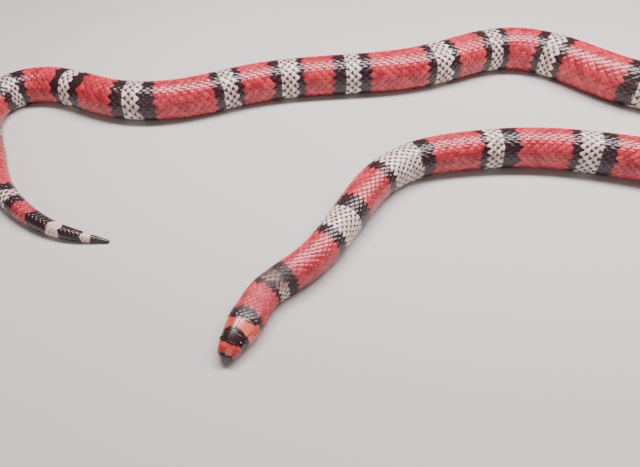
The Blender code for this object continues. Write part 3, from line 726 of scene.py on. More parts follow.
def eye_centre(side):
    """The ball lies square to the head's surface, which leans inwards at the height of the eye."""
    across, up = snake.ring(EYE_FROM_SNOUT, QUARTER_RING)
    surface = np.interp(EYE_HEIGHT, up, across)
    lean = -np.interp(EYE_HEIGHT, up, np.gradient(across, up))
    depth = (EYE_RADIUS - EYE_PROUD) / math.hypot(1, lean)
    return snake.place(EYE_FROM_SNOUT, side * (surface - depth), EYE_HEIGHT - lean * depth)


def from_spot(s, f, spot_s, spot_f):
    """Distance over the skin from a spot that both sides of the head have."""
    return np.hypot(s - spot_s, (np.abs(f) - spot_f) * skin_map.girth(s))


print("eye opening", round(2 * EYE_OPENING / MM, 2), "mm across")

# %% The skin
HEAD_SKIN_COLUMNS = 192
HEAD_ROW, BODY_ROW = 0.2 * MM, 2.2 * MM
# Rows crowd together towards the tip of the snout
SNOUT_ROWS, SNOUT_CROWDING, SNOUT_ENDS = 22, 1.7, 3 * MM
FINE_SKIN_ENDS = 24 * MM
GROOVE_DEPTH, GROOVE_WIDTH = 0.45 * MM, 0.16 * MM
SOCKET_DEPTH, SOCKET_EDGE = 0.8 * MM, (0.15 * MM, -0.25 * MM)
NOSTRIL_DEPTH = 0.5 * MM
# Painted shade: the skin is painted black where it sinks in, by between these depths
SHADE_BLACK_WHERE_SUNK = (0.05 * MM, 0.25 * MM)


def skin_sink(s, f):
    """How far the skin sinks in at the mouth's line, the eyes and the nostrils."""
    height = skin_map.at(s, f)[..., 2]
    in_mouth = np.exp(-(((height - mouth_height(s)) / GROOVE_WIDTH) ** 2))
    in_mouth = in_mouth * (1 - smooth_step(JAW_ENDS - 1 * MM, JAW_ENDS, s))
    in_eye = from_spot(s, f, EYE_FROM_SNOUT, EYE_SHARE)
    in_eye = smooth_step(*(EYE_OPENING + edge for edge in SOCKET_EDGE), in_eye)
    in_nostril = from_spot(s, f, NOSTRIL_FROM_SNOUT, NOSTRIL_SHARE)
    in_nostril = smooth_step(NOSTRIL_RADIUS, 0.5 * NOSTRIL_RADIUS, in_nostril)
    return GROOVE_DEPTH * in_mouth + SOCKET_DEPTH * in_eye + NOSTRIL_DEPTH * in_nostril


def make_skin():
    """Fine rings over the head, coarser ones with half as many corners behind, and both ends closed."""
    snout_rows = (np.linspace(0, 1, SNOUT_ROWS) ** SNOUT_CROWDING) * SNOUT_ENDS
    head_rows = np.concatenate([snout_rows, np.arange(SNOUT_ENDS + HEAD_ROW, FINE_SKIN_ENDS, HEAD_ROW)])
    body_rows = np.linspace(FINE_SKIN_ENDS, snake.length, int((snake.length - FINE_SKIN_ENDS) / BODY_ROW))
    around = np.arange(HEAD_SKIN_COLUMNS) * 2 / HEAD_SKIN_COLUMNS - 1
    head_s, head_f = np.meshgrid(head_rows, around, indexing="ij")
    body_s, body_f = np.meshgrid(body_rows, around[::2], indexing="ij")
    head = skin_map.at(head_s, head_f, -skin_sink(head_s, head_f))
    body = skin_map.at(body_s, body_f)
    tips = np.stack([head[0].mean(0), body[-1].mean(0)])
    vertices = np.concatenate([head.reshape(-1, 3), body.reshape(-1, 3), tips])
    s = np.concatenate([head_s.ravel(), body_s.ravel(), [0, snake.length]])
    f = np.concatenate([head_f.ravel(), body_f.ravel(), [0, 0]])
    fine, coarse, first_body = HEAD_SKIN_COLUMNS, HEAD_SKIN_COLUMNS // 2, head_s.size
    quads = [grid_quads(len(head_rows), fine), first_body + grid_quads(len(body_rows), coarse)]
    j, k, last = np.arange(coarse), np.arange(fine), first_body - fine
    after, tail = (j + 1) % coarse, first_body + body_s.size - coarse
    between_two = last + 2 * j + 1
    fans = (
        (between_two - 1, between_two, first_body + j), (between_two, first_body + after, first_body + j),
        (between_two, last + (2 * j + 2) % fine, first_body + after),
        (len(vertices) - 2 + 0 * k, (k + 1) % fine, k), (len(vertices) - 1 + 0 * j, tail + j, tail + after),
    )
    faces = [np.concatenate(quads), np.concatenate([np.stack(fan, 1) for fan in fans])]
    # Painted shade: black in the mouth's groove, the eye sockets and the nostrils
    sunk_shade, pale = smooth_step(*SHADE_BLACK_WHERE_SUNK, skin_sink(s, f)) * (s < JAW_ENDS), belly_paleness(f)
    return build_on_skin("skin", "scales", vertices, faces, s, f, skin_finish, pale=pale, black=sunk_shade)


skin = make_skin()
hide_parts(*(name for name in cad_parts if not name.startswith("eye")))

# %% [markdown]
# A milk snake's back has 19 to 25 lengthwise rows of smooth scales. Each scale is a thin plate with a blunt
# point, rooted in the skin at its front and free behind, where it lies over the next ones. It swells along
# its middle, so each catches the lamp for itself, which a flat plate with a bump texture wouldn't do.
# Neighbouring rows are half a scale out of step, which gives the diamond net. The rows are set out by
# their share of the way round, so that they widen and narrow with the body, and where the body gets thinner
# the lowest row slips under the edge of the belly's scutes and ends, as in life.
# %% How the scales are set out
# From the snout in mm, and the length of one row step there
SCALE_PITCH_MM = ((0, 1.8), (16, 2.0), (28, 2.6), (45, 3.2), (70, 3.7), (120, 4.1), (300, 4.3), (500, 4.4),
                  (700, 4.1), (865, 3.7), (930, 3.1), (985, 2.0), (1006, 1.5))
# From the snout in mm, and the number of rows from the middle of the back to the edge of the scutes
ROWS_A_SIDE_MM = ((0, 10.6), (60, 11.4), (200, 11.6), (330, 11.6), (600, 11.2), (700, 10.0), (800, 9.0),
                  (865, 8.0), (900, 6.4), (940, 5.0), (975, 3.4), (1006, 1.4))
SCUTE_EDGE, PAST_THE_BELLY = 0.70, 1.03
SCUTES_START, SCUTES_FULL = 17.5 * MM, 21.5 * MM
# In row steps: from the last row to the edge of the scutes, and the nearest that a row may come to it
LAST_GAP, NEAREST_ROW = 0.62, 0.12
COUNTED_PLACES = 20000


def pitch(s):
    return read_table(SCALE_PITCH_MM, s, (MM, MM))


def scute_edge(s):
    """The share of the way round where the belly's scutes begin. On the throat there are none."""
    return PAST_THE_BELLY + (SCUTE_EDGE - PAST_THE_BELLY) * smooth_step(SCUTES_START, SCUTES_FULL, s)


def row_step(s):
    """The share of the way round from one row of scales to the next."""
    return SCUTE_EDGE / (read_table(ROWS_A_SIDE_MM, s, (MM, 1)) + LAST_GAP)


def count_steps():
    """Distances s, and the number of row steps from the snout to each."""
    s = np.linspace(0, snake.length, COUNTED_PLACES)
    return s, np.concatenate([[0], np.cumsum(np.diff(s) / pitch((s[1:] + s[:-1]) / 2))])


STEP_PLACES, STEP_COUNTS = count_steps()
print("row steps from snout to tail:", round(STEP_COUNTS[-1], 1))

# %% Where the shields of the head end
# Share of the way round, and the distance from the snout in mm behind which scales begin
SHIELDS_END_MM = ((0.0, 15.3), (0.12, 15.5), (0.25, 14.7), (0.29, 14.2), (0.34, 14.4), (0.41, 14.7),
                  (0.475, 15.2), (0.49, 16.7), (0.70, 16.7), (0.78, 13.8), (0.82, 11.2), (1.0, 10.8))
OVERLAP = 1.55
ROWS_TO_SPARE = 12


def scale_roots(rng):
    """Roots of all scales of the back, sides and throat: arrays of s, row number and a random share."""
    found_s, found_row = [], []
    most = int(PAST_THE_BELLY / row_step(snake.length / 2)) + ROWS_TO_SPARE
    for row in range(-most, most + 1):
        steps = np.arange(0, STEP_COUNTS[-1] - 1.0) + 0.5 * (row % 2)
        s = np.interp(steps, STEP_COUNTS, STEP_PLACES)
        visible = s + 0.5 * OVERLAP * pitch(s)
        away = abs(row) * row_step(visible)
        on_body = (away < scute_edge(visible) - NEAREST_ROW * row_step(visible)) & (away <= 1)
        keep = on_body & (visible > read_table(SHIELDS_END_MM, away) * MM)
        found_s.append(s[keep])
        found_row.append(np.full(keep.sum(), row))
    s, row = np.concatenate(found_s), np.concatenate(found_row)
    order = np.argsort(s, kind="stable")
    return s[order], row[order], rng.random(len(s))


rng = np.random.default_rng(7)
root_s, root_row, root_chance = scale_roots(rng)
print(len(root_s), "scales on the back and sides")

# %% The form of one scale
LENGTH_STATIONS = np.array([0.0, 0.22, 0.42, 0.56, 0.68, 0.79, 0.88, 0.95, 1.0])
WIDTH_STATIONS = np.array([-1.0, -0.84, -0.45, 0.0, 0.45, 0.84, 1.0])
SCALE_WIDTH = 1.12
ROOT_LIFT, FRONT_LIFT, TIP_LIFT = -0.14 * MM, -0.05 * MM, 0.27 * MM
DOME, TIP_DROP = 0.17 * MM, 0.03 * MM
# How much of the dome is lost towards the tip
DOME_FADES = 0.35
# Its width at the front, what it gains, and by which share of its length
FRONT_WIDTH, WIDTH_GAIN, WIDEST_BY = 0.78, 0.22, 0.45
# Where it starts to taper and over how much of its length, and what makes the point rounder or blunter
TAPER_FROM, TAPER_OVER, TAPER_ROUND, TIP_BLUNT = 0.56, 0.44, 1.55, 0.86
# How its length varies, from which place it darkens to the tip, and how much painted shade darkens its sides
SHORTEST, LENGTH_VARIES = 0.97, 0.06
DARK_FROM, SIDE_SHADE = 0.55, 0.62
# The swelling along a scale's middle: its height, and where it is highest and how far it reaches, in lengths
SWELL, SWELL_MIDDLE, SWELL_REACH = 0.26 * MM, 0.62, 0.42
# Scales closer together than this are thinner too
FULL_SIZE_PITCH = 3.6 * MM
# The skin's stretch in a bend counts between these limits, and this power of it is taken off a plate
STRETCH_LIMITS, STRETCH_POWER = (0.6, 1.45), 0.6
# How much of its colour a scale takes whole, from which place of its length, and how far the markings wander
OWN_COLOUR, OWN_PLACE, WANDER = 0.8, 0.66, 0.7 * MM


def scale_outline(u):
    """Half width of a scale at u from its front, as a share of its greatest."""
    front = FRONT_WIDTH + WIDTH_GAIN * smooth_step(0, WIDEST_BY, u)
    t = np.clip((u - TAPER_FROM) / TAPER_OVER, 0, 1)
    return front * np.maximum(1 - t**TAPER_ROUND, 0.008) ** TIP_BLUNT


class PlateForm:
    """The corners of one closed plate: a top grid of long x cross shares, and a strip below with its ends."""

    def __init__(self, long, cross):
        a, b = np.meshgrid(long, cross, indexing="ij")
        self.long = np.concatenate([a.ravel(), np.repeat(long, 2)])
        self.cross = np.concatenate([b.ravel(), np.tile(cross[[0, -1]], len(long))])
        self.below = a.size
        self.faces = self.list_faces(len(long), len(cross))

    def list_faces(self, long, cross):
        top = grid_quads(long, cross, tube=False)
        i = np.arange(long - 1)
        low = self.below + 2 * i
        left = np.stack([low, i * cross, (i + 1) * cross, low + 2], 1)
        right = np.stack([i * cross + cross - 1, low + 1, low + 3, (i + 1) * cross + cross - 1], 1)
        under = np.stack([low + 1, low, low + 2, low + 3], 1)
        end = self.below + 2 * (long - 1)
        front = np.concatenate([np.arange(cross)[::-1], [self.below, self.below + 1]])
        hind = np.concatenate([(long - 1) * cross + np.arange(cross), [end + 1, end]])
        return np.concatenate([top, left, right, under]), np.stack([front, hind])

    def lay(self, name, root_s, root_f, s, f, lift, values, patch):
        """A piece of such plates with their corners at s and f. Patch is each corner's place on its patch."""
        lift[self.below:] = ROOT_LIFT
        size = np.minimum(1, pitch(root_s) / FULL_SIZE_PITCH)
        vertices = skin_map.at(s, f, lift * size[:, None])
        first = (np.arange(len(s)) * len(lift))[:, None, None]
        groups = [(faces + first).reshape(-1, faces.shape[1]) for faces in self.faces]
        patches = np.clip(unrolled(root_s, root_f) % 1, PATCH_SIDE, 1 - PATCH_SIDE)[:, None]
        patches = (patches + np.stack(patch, -1) * PATCH_SIDE / 2).reshape(-1, 2)
        build_piece(name, vertices.reshape(-1, 3), groups, values, scale_finish, patches)


def plate_length(overlap, s, look_s, f):
    """The length of plates rooted at s, which on the outside of a bend stretch less than the skin does."""
    stretch = skin_map.read(skin_map.stretch, look_s, f)
    return overlap * pitch(s) / np.clip(stretch, *STRETCH_LIMITS) ** STRETCH_POWER


# %% Lay the scales
SCALES_A_PIECE = 1000


def lay_scales(name, s, row, chance):
    """The scales with those roots, as one piece."""
    form = PlateForm(LENGTH_STATIONS, WIDTH_STATIONS)
    u, v = form.long, form.cross
    half = v * np.interp(u, LENGTH_STATIONS, scale_outline(LENGTH_STATIONS))
    lift = FRONT_LIFT + (TIP_LIFT - FRONT_LIFT) * u - DOME * v**2 * (1 - DOME_FADES * u)
    swelling = np.maximum(1 - ((u - SWELL_MIDDLE) / SWELL_REACH) ** 2, 0)
    lift = lift + SWELL * swelling * (1 - np.abs(v) ** 3) - TIP_DROP * smooth_step(0.9, 1.0, u)
    root_f = row * row_step(s)
    length = plate_length(OVERLAP, s, s + pitch(s), root_f) * (SHORTEST + LENGTH_VARIES * chance)
    place_s = s[:, None] + length[:, None] * u
    place_f = row[:, None] * row_step(place_s) + half * (SCALE_WIDTH * row_step(s))[:, None]
    place_s = np.minimum(place_s, snake.length)
    # Dark hind tips are the scale's own colour; the darkening along its sides is painted shade, and its walls
    # and underside are painted fully dark as shade
    tip = np.maximum(smooth_step(DARK_FROM, 1.0, u), SIDE_SHADE * np.abs(v) ** 6)
    tip[form.below:] = 1.0
    wander = (chance[:, None] - 0.5) * WANDER
    mixed_s = OWN_COLOUR * (s + OWN_PLACE * length)[:, None] + (1 - OWN_COLOUR) * place_s
    values = all_values(mixed_s, place_f, tip, chance[:, None], belly_paleness(place_f), wander=wander)
    form.lay(name, s, root_f, place_s, place_f, lift, values, (u * 2 - 1, v))


pieces = math.ceil(len(root_s) / SCALES_A_PIECE)
for k, chosen in enumerate(np.array_split(np.arange(len(root_s)), pieces)):
    lay_scales(f"back_scales_{k + 1}", root_s[chosen], root_row[chosen], root_chance[chosen])

# %% [markdown]
# The belly has one row of broad scutes, one for each step of the scales, and the tail has them in pairs.
# They are what the animal stands on, so they are flat below and only their hind edges are free. Each is a
# closed strip that runs from one edge of the belly to the other, laid on the same map as the scales.
# %% Belly scutes
SCUTE_STATIONS = np.linspace(-1, 1, 25)
SCUTE_DEPTH_STATIONS = np.array([0.0, 0.5, 0.8, 0.95, 1.0])
SCUTE_OVERLAP, SCUTE_MARGIN = 1.42, 0.012
SCUTE_TIP_DROP, SCUTE_SIDE_DROP = 0.05 * MM, 0.10 * MM
# How much shorter a scute is at its two ends
SCUTE_ROUNDING = 0.22
SCUTE_WANDER = 1.5 * MM


def lay_scutes(name, s, middle, half):
    """Broad plates with their fronts at s, each reaching half to both sides of its middle."""
    middle, half, chance = middle + 0 * s, half + 0 * s, rng.random(len(s))
    form = PlateForm(SCUTE_STATIONS, SCUTE_DEPTH_STATIONS)
    v, u = form.long, form.cross
    lift = FRONT_LIFT + (TIP_LIFT - FRONT_LIFT) * u - SCUTE_TIP_DROP * smooth_step(0.8, 1.0, u)
    lift = lift - SCUTE_SIDE_DROP * np.abs(v) ** 8
    length = plate_length(SCUTE_OVERLAP, s, s, middle)
    rounded = 1 - SCUTE_ROUNDING * np.abs(v) ** 5
    place_s = np.minimum(s[:, None] + length[:, None] * u * rounded, snake.length)
    place_f = middle[:, None] + half[:, None] * v
    wander = (chance[:, None] - 0.5) * SCUTE_WANDER
    values = all_values(place_s, place_f, 0.0, chance[:, None], belly_paleness(place_f), wander=wander)
    form.lay(name, s, middle, place_s, place_f, lift, values, (v, u * 2 - 1))


steps = np.arange(0, STEP_COUNTS[-1] - 1.2)
step_s = np.interp(steps, STEP_COUNTS, STEP_PLACES)
belly = step_s[(step_s > SCUTES_START + 0.5 * MM) & (step_s < snake.vent)]
lay_scutes("belly_scutes", belly, 1, 1 - scute_edge(belly + pitch(belly)) + SCUTE_MARGIN)
tail_half = (1 - SCUTE_EDGE + SCUTE_MARGIN) / 2
for side, word in ((1, "left"), (-1, "right")):
    shifted = np.interp(steps[step_s >= snake.vent] + 0.25 * side, STEP_COUNTS, STEP_PLACES)
    lay_scutes(f"tail_scutes_{word}", shifted, side * (1 - tail_half), tail_half)

# %% [markdown]
# The tail ends in one cone-shaped scale, a blunt spine that covers the tip like a thimble. It is a ring of
# corners carried along the tail and drawn together behind it. A ready-made cone would have to be bent to the
# tail and fitted to its section; on the skin's map it fits by itself.
# %% The spine at the tip of the tail
SPINE_LENGTH = 3.2 * MM
SPINE_COLUMNS = 24
# Rows from its front to the tail's end, and how far each lies above the skin, in mm
SPINE_ROWS = ((0, -0.08), (0, 0.12), (0.08, 0.19), (0.35, 0.21), (0.6, 0.21), (0.8, 0.21), (1, 0.19))
# Behind the end it closes: the share of its width left, and how far behind, in mm
SPINE_TIP_MM = ((0.88, 0.18), (0.66, 0.38), (0.36, 0.52), (0.03, 0.58))


def draw_together(rows, s, f, tip_mm, way):
    """The rows of corners with further ones that close over the last, towards a way, and their s and f."""
    middle = rows[-1].mean(0)
    further = [middle + (rows[-1] - middle) * share + (*way * far * MM, 0) for share, far in tip_mm]
    s, f = (np.concatenate([table, np.repeat(table[-1:], len(tip_mm), axis=0)]) for table in (s, f))
    return np.concatenate([rows, further]), s, f


def make_tail_spine():
    shares, lifts = np.array(SPINE_ROWS).T
    f = np.arange(SPINE_COLUMNS) * 2 / SPINE_COLUMNS - 1
    s, f = np.meshgrid(snake.length - SPINE_LENGTH * (1 - shares), f, indexing="ij")
    tailward = snake.frame(snake.length)[1]
    rows, s, f = draw_together(skin_map.at(s, f, lifts[:, None] * MM), s, f, SPINE_TIP_MM, tailward)
    faces = tube_faces(len(rows), SPINE_COLUMNS)
    build_on_skin("tail_spine", "scales", rows.reshape(-1, 3), faces, s, f, scale_finish)


make_tail_spine()

# %% [markdown]
# A snake's head is covered by a few large shields that fit like paving: nine on the crown, the nasals,
# loreals and temporals on each side, and a row of labials along each lip. Each is a thin plate with softly
# rounded edges, made from its outline on the skin: rings of corners run from the edge, rooted in the skin,
# up over the rim and in to the middle. Sculpting them into the skin would take a far finer mesh
# to get seams as crisp as these.
# %% Outlines of the shields
# Each corner is the distance from the snout, and over the skin from the middle of the crown, in mm.
# Neighbours share their corners, so that the seams are even.
FRONTAL_MM = ((5.0, 0.0), (5.2, 1.6), (8.45, 1.75), (10.05, 0.0), (8.45, -1.75), (5.2, -1.6))
LEFT_SHIELDS_MM = {
    "internasal": ((1.2, 0.0), (1.12, 0.9), (0.95, 1.75), (1.8, 2.7), (2.8, 2.85), (2.95, 0.0)),
    "prefrontal": ((2.95, 0.0), (2.8, 2.85), (4.1, 3.55), (4.95, 3.35), (5.2, 1.6), (5.0, 0.0)),
    "supraocular": ((4.95, 3.35), (5.2, 1.6), (8.45, 1.75), (8.7, 4.15), (7.3, 4.27), (6.4, 3.87),
                    (5.5, 4.27)),
    "parietal": ((10.05, 0.0), (8.45, 1.75), (8.7, 4.15), (9.2, 4.9), (12.0, 5.55), (12.5, 5.68), (14.0, 5.2),
                 (14.6, 4.7), (15.4, 2.3), (15.1, 0.0)),
    "front_nasal": ((0.95, 1.75), (1.8, 2.7), (1.8, 4.43), (0.88, 3.55)),
    "hind_nasal": ((1.8, 2.7), (2.8, 2.85), (2.85, 5.25), (1.8, 4.43)),
    "loreal": ((2.8, 2.85), (4.1, 3.55), (4.2, 6.0), (2.85, 5.25)),
    "preocular": ((4.1, 3.55), (4.95, 3.35), (5.5, 4.27), (5.2, 5.07), (5.5, 5.9), (4.5, 6.15), (4.2, 6.0)),
    "upper_postocular": ((7.3, 4.27), (8.7, 4.15), (9.2, 4.9), (9.1, 5.85), (7.6, 5.25)),
    "lower_postocular": ((7.6, 5.25), (9.1, 5.85), (9.35, 7.6), (8.6, 7.3), (7.3, 5.95)),
    "front_temporal_1": ((9.2, 4.9), (12.0, 5.55), (11.9, 6.95), (9.1, 5.85)),
    "front_temporal_2": ((9.1, 5.85), (11.9, 6.95), (12.15, 8.5), (9.35, 7.6)),
    "hind_temporal_1": ((12.0, 5.55), (12.5, 5.68), (14.0, 5.2), (14.3, 6.5), (11.9, 6.95)),
    "hind_temporal_2": ((11.9, 6.95), (14.3, 6.5), (14.6, 8.0), (12.05, 7.8)),
    "hind_temporal_3": ((12.05, 7.8), (14.6, 8.0), (15.1, 9.25), (12.15, 8.5)),
}
LABIAL_EDGES_MM = (0.88, 2.8, 4.6, 6.4, 8.6, 11.2, 13.9, 16.6)
# The same seams where they meet the mouth, which they reach at a slant
UPPER_LIP_EDGES_MM = (0.88, 2.55, 4.3, 6.15, 8.5, 11.35, 14.2, 16.6)
LOWER_LIP_EDGES_MM = (0.88, 2.3, 3.85, 5.5, 7.7, 10.4, 13.3, 16.6)
LABIAL_TOPS_MM = ((0.88, 3.55), (1.8, 4.43), (2.85, 5.25), (4.2, 6.0), (4.5, 6.15), (5.5, 5.9), (6.4, 6.3),
                  (7.3, 5.95), (8.6, 7.3), (9.35, 7.6), (12.15, 8.5), (15.1, 9.25), (16.6, 9.55))
LIP_GAP_MM = 0.12
# Below the mouth the second number is the distance over the skin from the middle of the chin
LABIAL_FEET_MM = ((0.88, 1.3), (1.8, 0.02), (2.5, 0.02), (2.8, 2.1), (4.6, 2.75), (6.4, 3.2), (8.6, 4.1),
                  (11.2, 5.1), (13.9, 5.9), (16.6, 6.4))
LEFT_CHIN_SHIELDS_MM = {
    "front_chin_shield": ((2.5, 0.0), (2.8, 2.1), (4.6, 2.75), (6.4, 3.2), (6.8, 1.15), (6.4, 0.0)),
    "hind_chin_shield": ((6.4, 0.0), (6.8, 1.15), (6.6, 2.2), (9.0, 2.5), (10.7, 1.3), (10.3, 0.0)),
    "throat_plate_1": ((6.6, 2.2), (6.4, 3.2), (8.6, 4.1), (9.0, 2.5)),
    "throat_plate_2": ((9.0, 2.5), (8.6, 4.1), (11.2, 5.1), (11.3, 3.2), (10.7, 1.3)),
    "throat_plate_3": ((11.3, 3.2), (11.2, 5.1), (13.9, 5.9), (14.0, 3.9)),
    "throat_plate_4": ((14.0, 3.9), (13.9, 5.9), (16.6, 6.4), (16.6, 4.4)),
}


def over_skin(s_mm, height_mm):
    """Distance over the skin in mm from the middle of the crown down to a height, on the left."""
    return float(skin_map.share_at_height(s_mm * MM, height_mm * MM) * skin_map.girth(s_mm * MM)) / MM


def lip_corner(s, from_chin):
    """The corner of a shield at the mouth, above it or below it."""
    gap = -LIP_GAP_MM if from_chin else LIP_GAP_MM
    over = over_skin(s, mouth_height(s * MM) / MM + gap)
    return (s, float(skin_map.girth(s * MM)) / MM - over if from_chin else over)


def labials(lip_edges_mm, edge_mm, from_chin):
    """Outlines of one lip's shields on the left, between the mouth's line and their far edge."""
    found = []
    for k in range(len(LABIAL_EDGES_MM) - 1):
        (a, b), (c, d) = LABIAL_EDGES_MM[k:k + 2], lip_edges_mm[k:k + 2]
        lip = [lip_corner(s, from_chin) for s in (c, (c + d) / 2, d)]
        far = [corner for corner in reversed(edge_mm) if a < corner[0] < b]
        found.append([*lip, (b, read_table(edge_mm, b)), *far, (a, read_table(edge_mm, a))])
    return found


def mental():
    """The shield at the tip of the lower lip, from one side to the other."""
    lip = [lip_corner(s, True) for s in (0.88, 0.5, 0.22)]
    return [(0.88, 1.3), (1.8, 0.0), (0.88, -1.3)] + [(s, -over) for s, over in lip] + lip[::-1]


upper_labials = labials(UPPER_LIP_EDGES_MM, LABIAL_TOPS_MM, False)
lower_labials = labials(LOWER_LIP_EDGES_MM, LABIAL_FEET_MM, True)
print(len(LEFT_SHIELDS_MM), "kinds of shields above,", len(upper_labials), "labials a side on each lip")

# %% From an outline to a plate
SHIELD_RISE, MIDDLE_RISE = 0.16 * MM, 1.03
SEAM, CORNER_CUT = 0.05 * MM, 0.20 * MM
# Each ring of a shield: drawn in from the edge by this far, and its share of the rise
RIM = ((0.0, -0.9), (0.0, 0.48), (0.02 * MM, 0.76), (0.07 * MM, 0.93), (0.17 * MM, 1.0))
INNER_STEP = 0.34 * MM
# Outlines are divided more finely where they pass this close to an eye or a nostril
OUTLINE_STEP, SPOT_STEP, BESIDE_SPOT = 0.26 * MM, 0.09 * MM, 0.5 * MM
# Where the shields leave room for an eye and a nostril
SPOTS = (
    (EYE_FROM_SNOUT, EYE_SHARE, EYE_OPENING + 0.03 * MM), (NOSTRIL_FROM_SNOUT, NOSTRIL_SHARE, NOSTRIL_RADIUS),
)
# From one shield's colour to the next one's, as a share of all that it can be
CHANCE_STEP = 0.37


def round_outline(points, step):
    """The outline with its corners cut and its sides divided into steps of about that length."""
    cut = []
    for before, here, after in zip(np.roll(points, 1, axis=0), points, np.roll(points, -1, axis=0)):
        for other in (before, after):
            cut.append(here + (other - here) * min(CORNER_CUT / np.linalg.norm(other - here), 0.3))
    steps = []
    for here, after in zip(cut, cut[1:] + cut[:1]):
        count = max(1, math.ceil(np.linalg.norm(after - here) / step))
        steps += [here + (after - here) * i / count for i in range(count)]
    return np.array(steps)


def turning(outline):
    """Positive for an outline that runs one way round, negative for the other."""
    x, y = outline.T
    return np.sum(x * np.roll(y, -1) - np.roll(x, -1) * y)


def spot_place(s, f):
    return np.array([s, f * float(skin_map.girth(s))])


def beside_spot(outline):
    """Whether a shield of the upper head borders an eye or a nostril."""
    corners = np.abs(outline)
    away = [np.linalg.norm(corners - spot_place(s, f), axis=1).min() - radius for s, f, radius in SPOTS]
    return min(away) < BESIDE_SPOT


def keep_off(points, s, f, radius):
    """Corners that would lie over an eye or a nostril, moved out to its rim."""
    for side in (1, -1):
        spot = spot_place(s, side * f)
        away = points - spot
        reach = np.linalg.norm(away, axis=1, keepdims=True)
        points = np.where(reach < radius, spot + away / np.maximum(reach, 1e-9) * radius, points)
    return points


class Plates:
    """Shields gathered into one mesh."""

    def __init__(self):
        self.vertices, self.quads, self.triangles = [], [], []
        self.s, self.f, self.chance = [], [], []
        self.count = 0

    def rings(self, points, from_chin):
        """Rings of corners from the edge in to the middle, and the share of the rise of each."""
        centre = points.mean(0)
        reach = np.linalg.norm(centre - points, axis=1, keepdims=True)
        rings = [points + (centre - points) * np.minimum((SEAM / 2 + drawn) / reach, 0.6) for drawn, _ in RIM]
        inner = np.linspace(1, 0, 2 + math.ceil(reach.max() / INNER_STEP))[1:-1]
        rings += [centre + (rings[-1] - centre) * share for share in inner]
        if not from_chin:
            drawn_in = [drawn for drawn, _ in RIM] + [RIM[-1][0]] * len(inner)
            for s, f, radius in SPOTS:
                rings = [keep_off(ring, s, f, radius + drawn) for ring, drawn in zip(rings, drawn_in)]
        return [*rings, centre[None], centre[None]], [share for _, share in RIM] + [MIDDLE_RISE] * len(inner)

    def add(self, outline, from_chin):
        """One shield. Its outline is (s, distance over the skin from the crown, or from the chin)."""
        if (turning(outline) > 0) == from_chin:
            outline = outline[::-1]
        points = round_outline(outline, SPOT_STEP if not from_chin and beside_spot(outline) else OUTLINE_STEP)
        rings, shares = self.rings(points, from_chin)
        n, j = len(points), np.arange(len(points))
        after, last, top = (j + 1) % n, (len(shares) - 1) * n, len(shares) * n
        self.quads.append(self.count + grid_quads(len(shares), n))
        fans = ((last + j, last + after, top + 0 * j), (after, j, top + 1 + 0 * j))
        self.triangles += [self.count + np.stack(fan, 1) for fan in fans]
        flat = np.concatenate(rings)
        s = np.maximum(flat[:, 0], 0.02 * MM)
        f = flat[:, 1] / skin_map.girth(s)
        f = (2 - f) % 2 - 1 if from_chin else f
        lift = np.concatenate([np.repeat(shares, n), [MIDDLE_RISE, RIM[0][1]]]) * SHIELD_RISE
        self.vertices.append(skin_map.at(s, f, lift))
        self.chance.append(np.full(len(s), (CHANCE_STEP * len(self.chance)) % 1))
        self.s.append(s)
        self.f.append(f)
        self.count += len(s)


# %% Make the shields
def make_shields():
    plates = Plates()
    plates.add(np.array(FRONTAL_MM) * MM, False)
    plates.add(np.array(mental()) * MM, True)
    above = [*LEFT_SHIELDS_MM.values(), *upper_labials]
    below = [*LEFT_CHIN_SHIELDS_MM.values(), *lower_labials]
    for outlines, from_chin in ((above, False), (below, True)):
        for outline in outlines:
            for side in (1, -1):
                plates.add(np.array(outline) * (MM, side * MM), from_chin)
    s, f, chance = (np.concatenate(values) for values in (plates.s, plates.f, plates.chance))
    faces = [np.concatenate(plates.quads), np.concatenate(plates.triangles)]
    build_on_skin("head_shields", "head_shields", np.concatenate(plates.vertices), faces, s, f, shield_finish,
                  chance=chance, pale=belly_paleness(f))
    print(len(plates.s), "shields")


make_shields()

# %% [markdown]
# The nostril is a small round hole between two shields, with a smooth, slightly raised edge. A torus from the
# menu would have to be tilted and bent to fit. Here the ring's corners are laid on the skin's map around the
# hole, so that it follows the curve of the snout.
# %% The rims of the nostrils
RIM_THICKNESS, RIM_HEIGHT = 0.115 * MM, 0.055 * MM
RIM_TURNS, RIM_SIDES = 32, 10


def make_nostril_rims():
    turn, rim = np.indices((RIM_TURNS, RIM_SIDES)) * 2 * math.pi
    turn, rim = turn / RIM_TURNS, rim / RIM_SIDES
    reach = NOSTRIL_RADIUS + RIM_THICKNESS * (0.6 + np.cos(rim))
    s = NOSTRIL_FROM_SNOUT + reach * np.cos(turn)
    f = np.stack([side * (NOSTRIL_SHARE + reach * np.sin(turn) / skin_map.girth(s)) for side in (1, -1)])
    vertices = skin_map.at(s, f, RIM_HEIGHT + RIM_THICKNESS * np.sin(rim)).reshape(-1, 3)
    quads = grid_quads(RIM_TURNS, RIM_SIDES, closed=True)
    faces = [np.concatenate([quads[:, [0, 3, 2, 1]], quads[:, [1, 2, 3, 0]] + turn.size])]
    build_on_skin("nostril_rims", "head_shields", vertices, faces, np.stack([s, s]), f, shield_finish)


make_nostril_rims()

# %% [markdown]
# One shield wraps the tip of the snout from lip to lip. It can't be an outline like the others, because the
# snout's tip lies inside it. So it is a grid: rows from its hind edge forward, that close over the tip.
# %% The shield over the snout
ROSTRAL_COLUMNS, ROSTRAL_ROWS, ROSTRAL_STATIONS = 61, 14, 27
NOSE_SIDE_MM, NOSE_ENDS = 0.9, 1.3 * MM
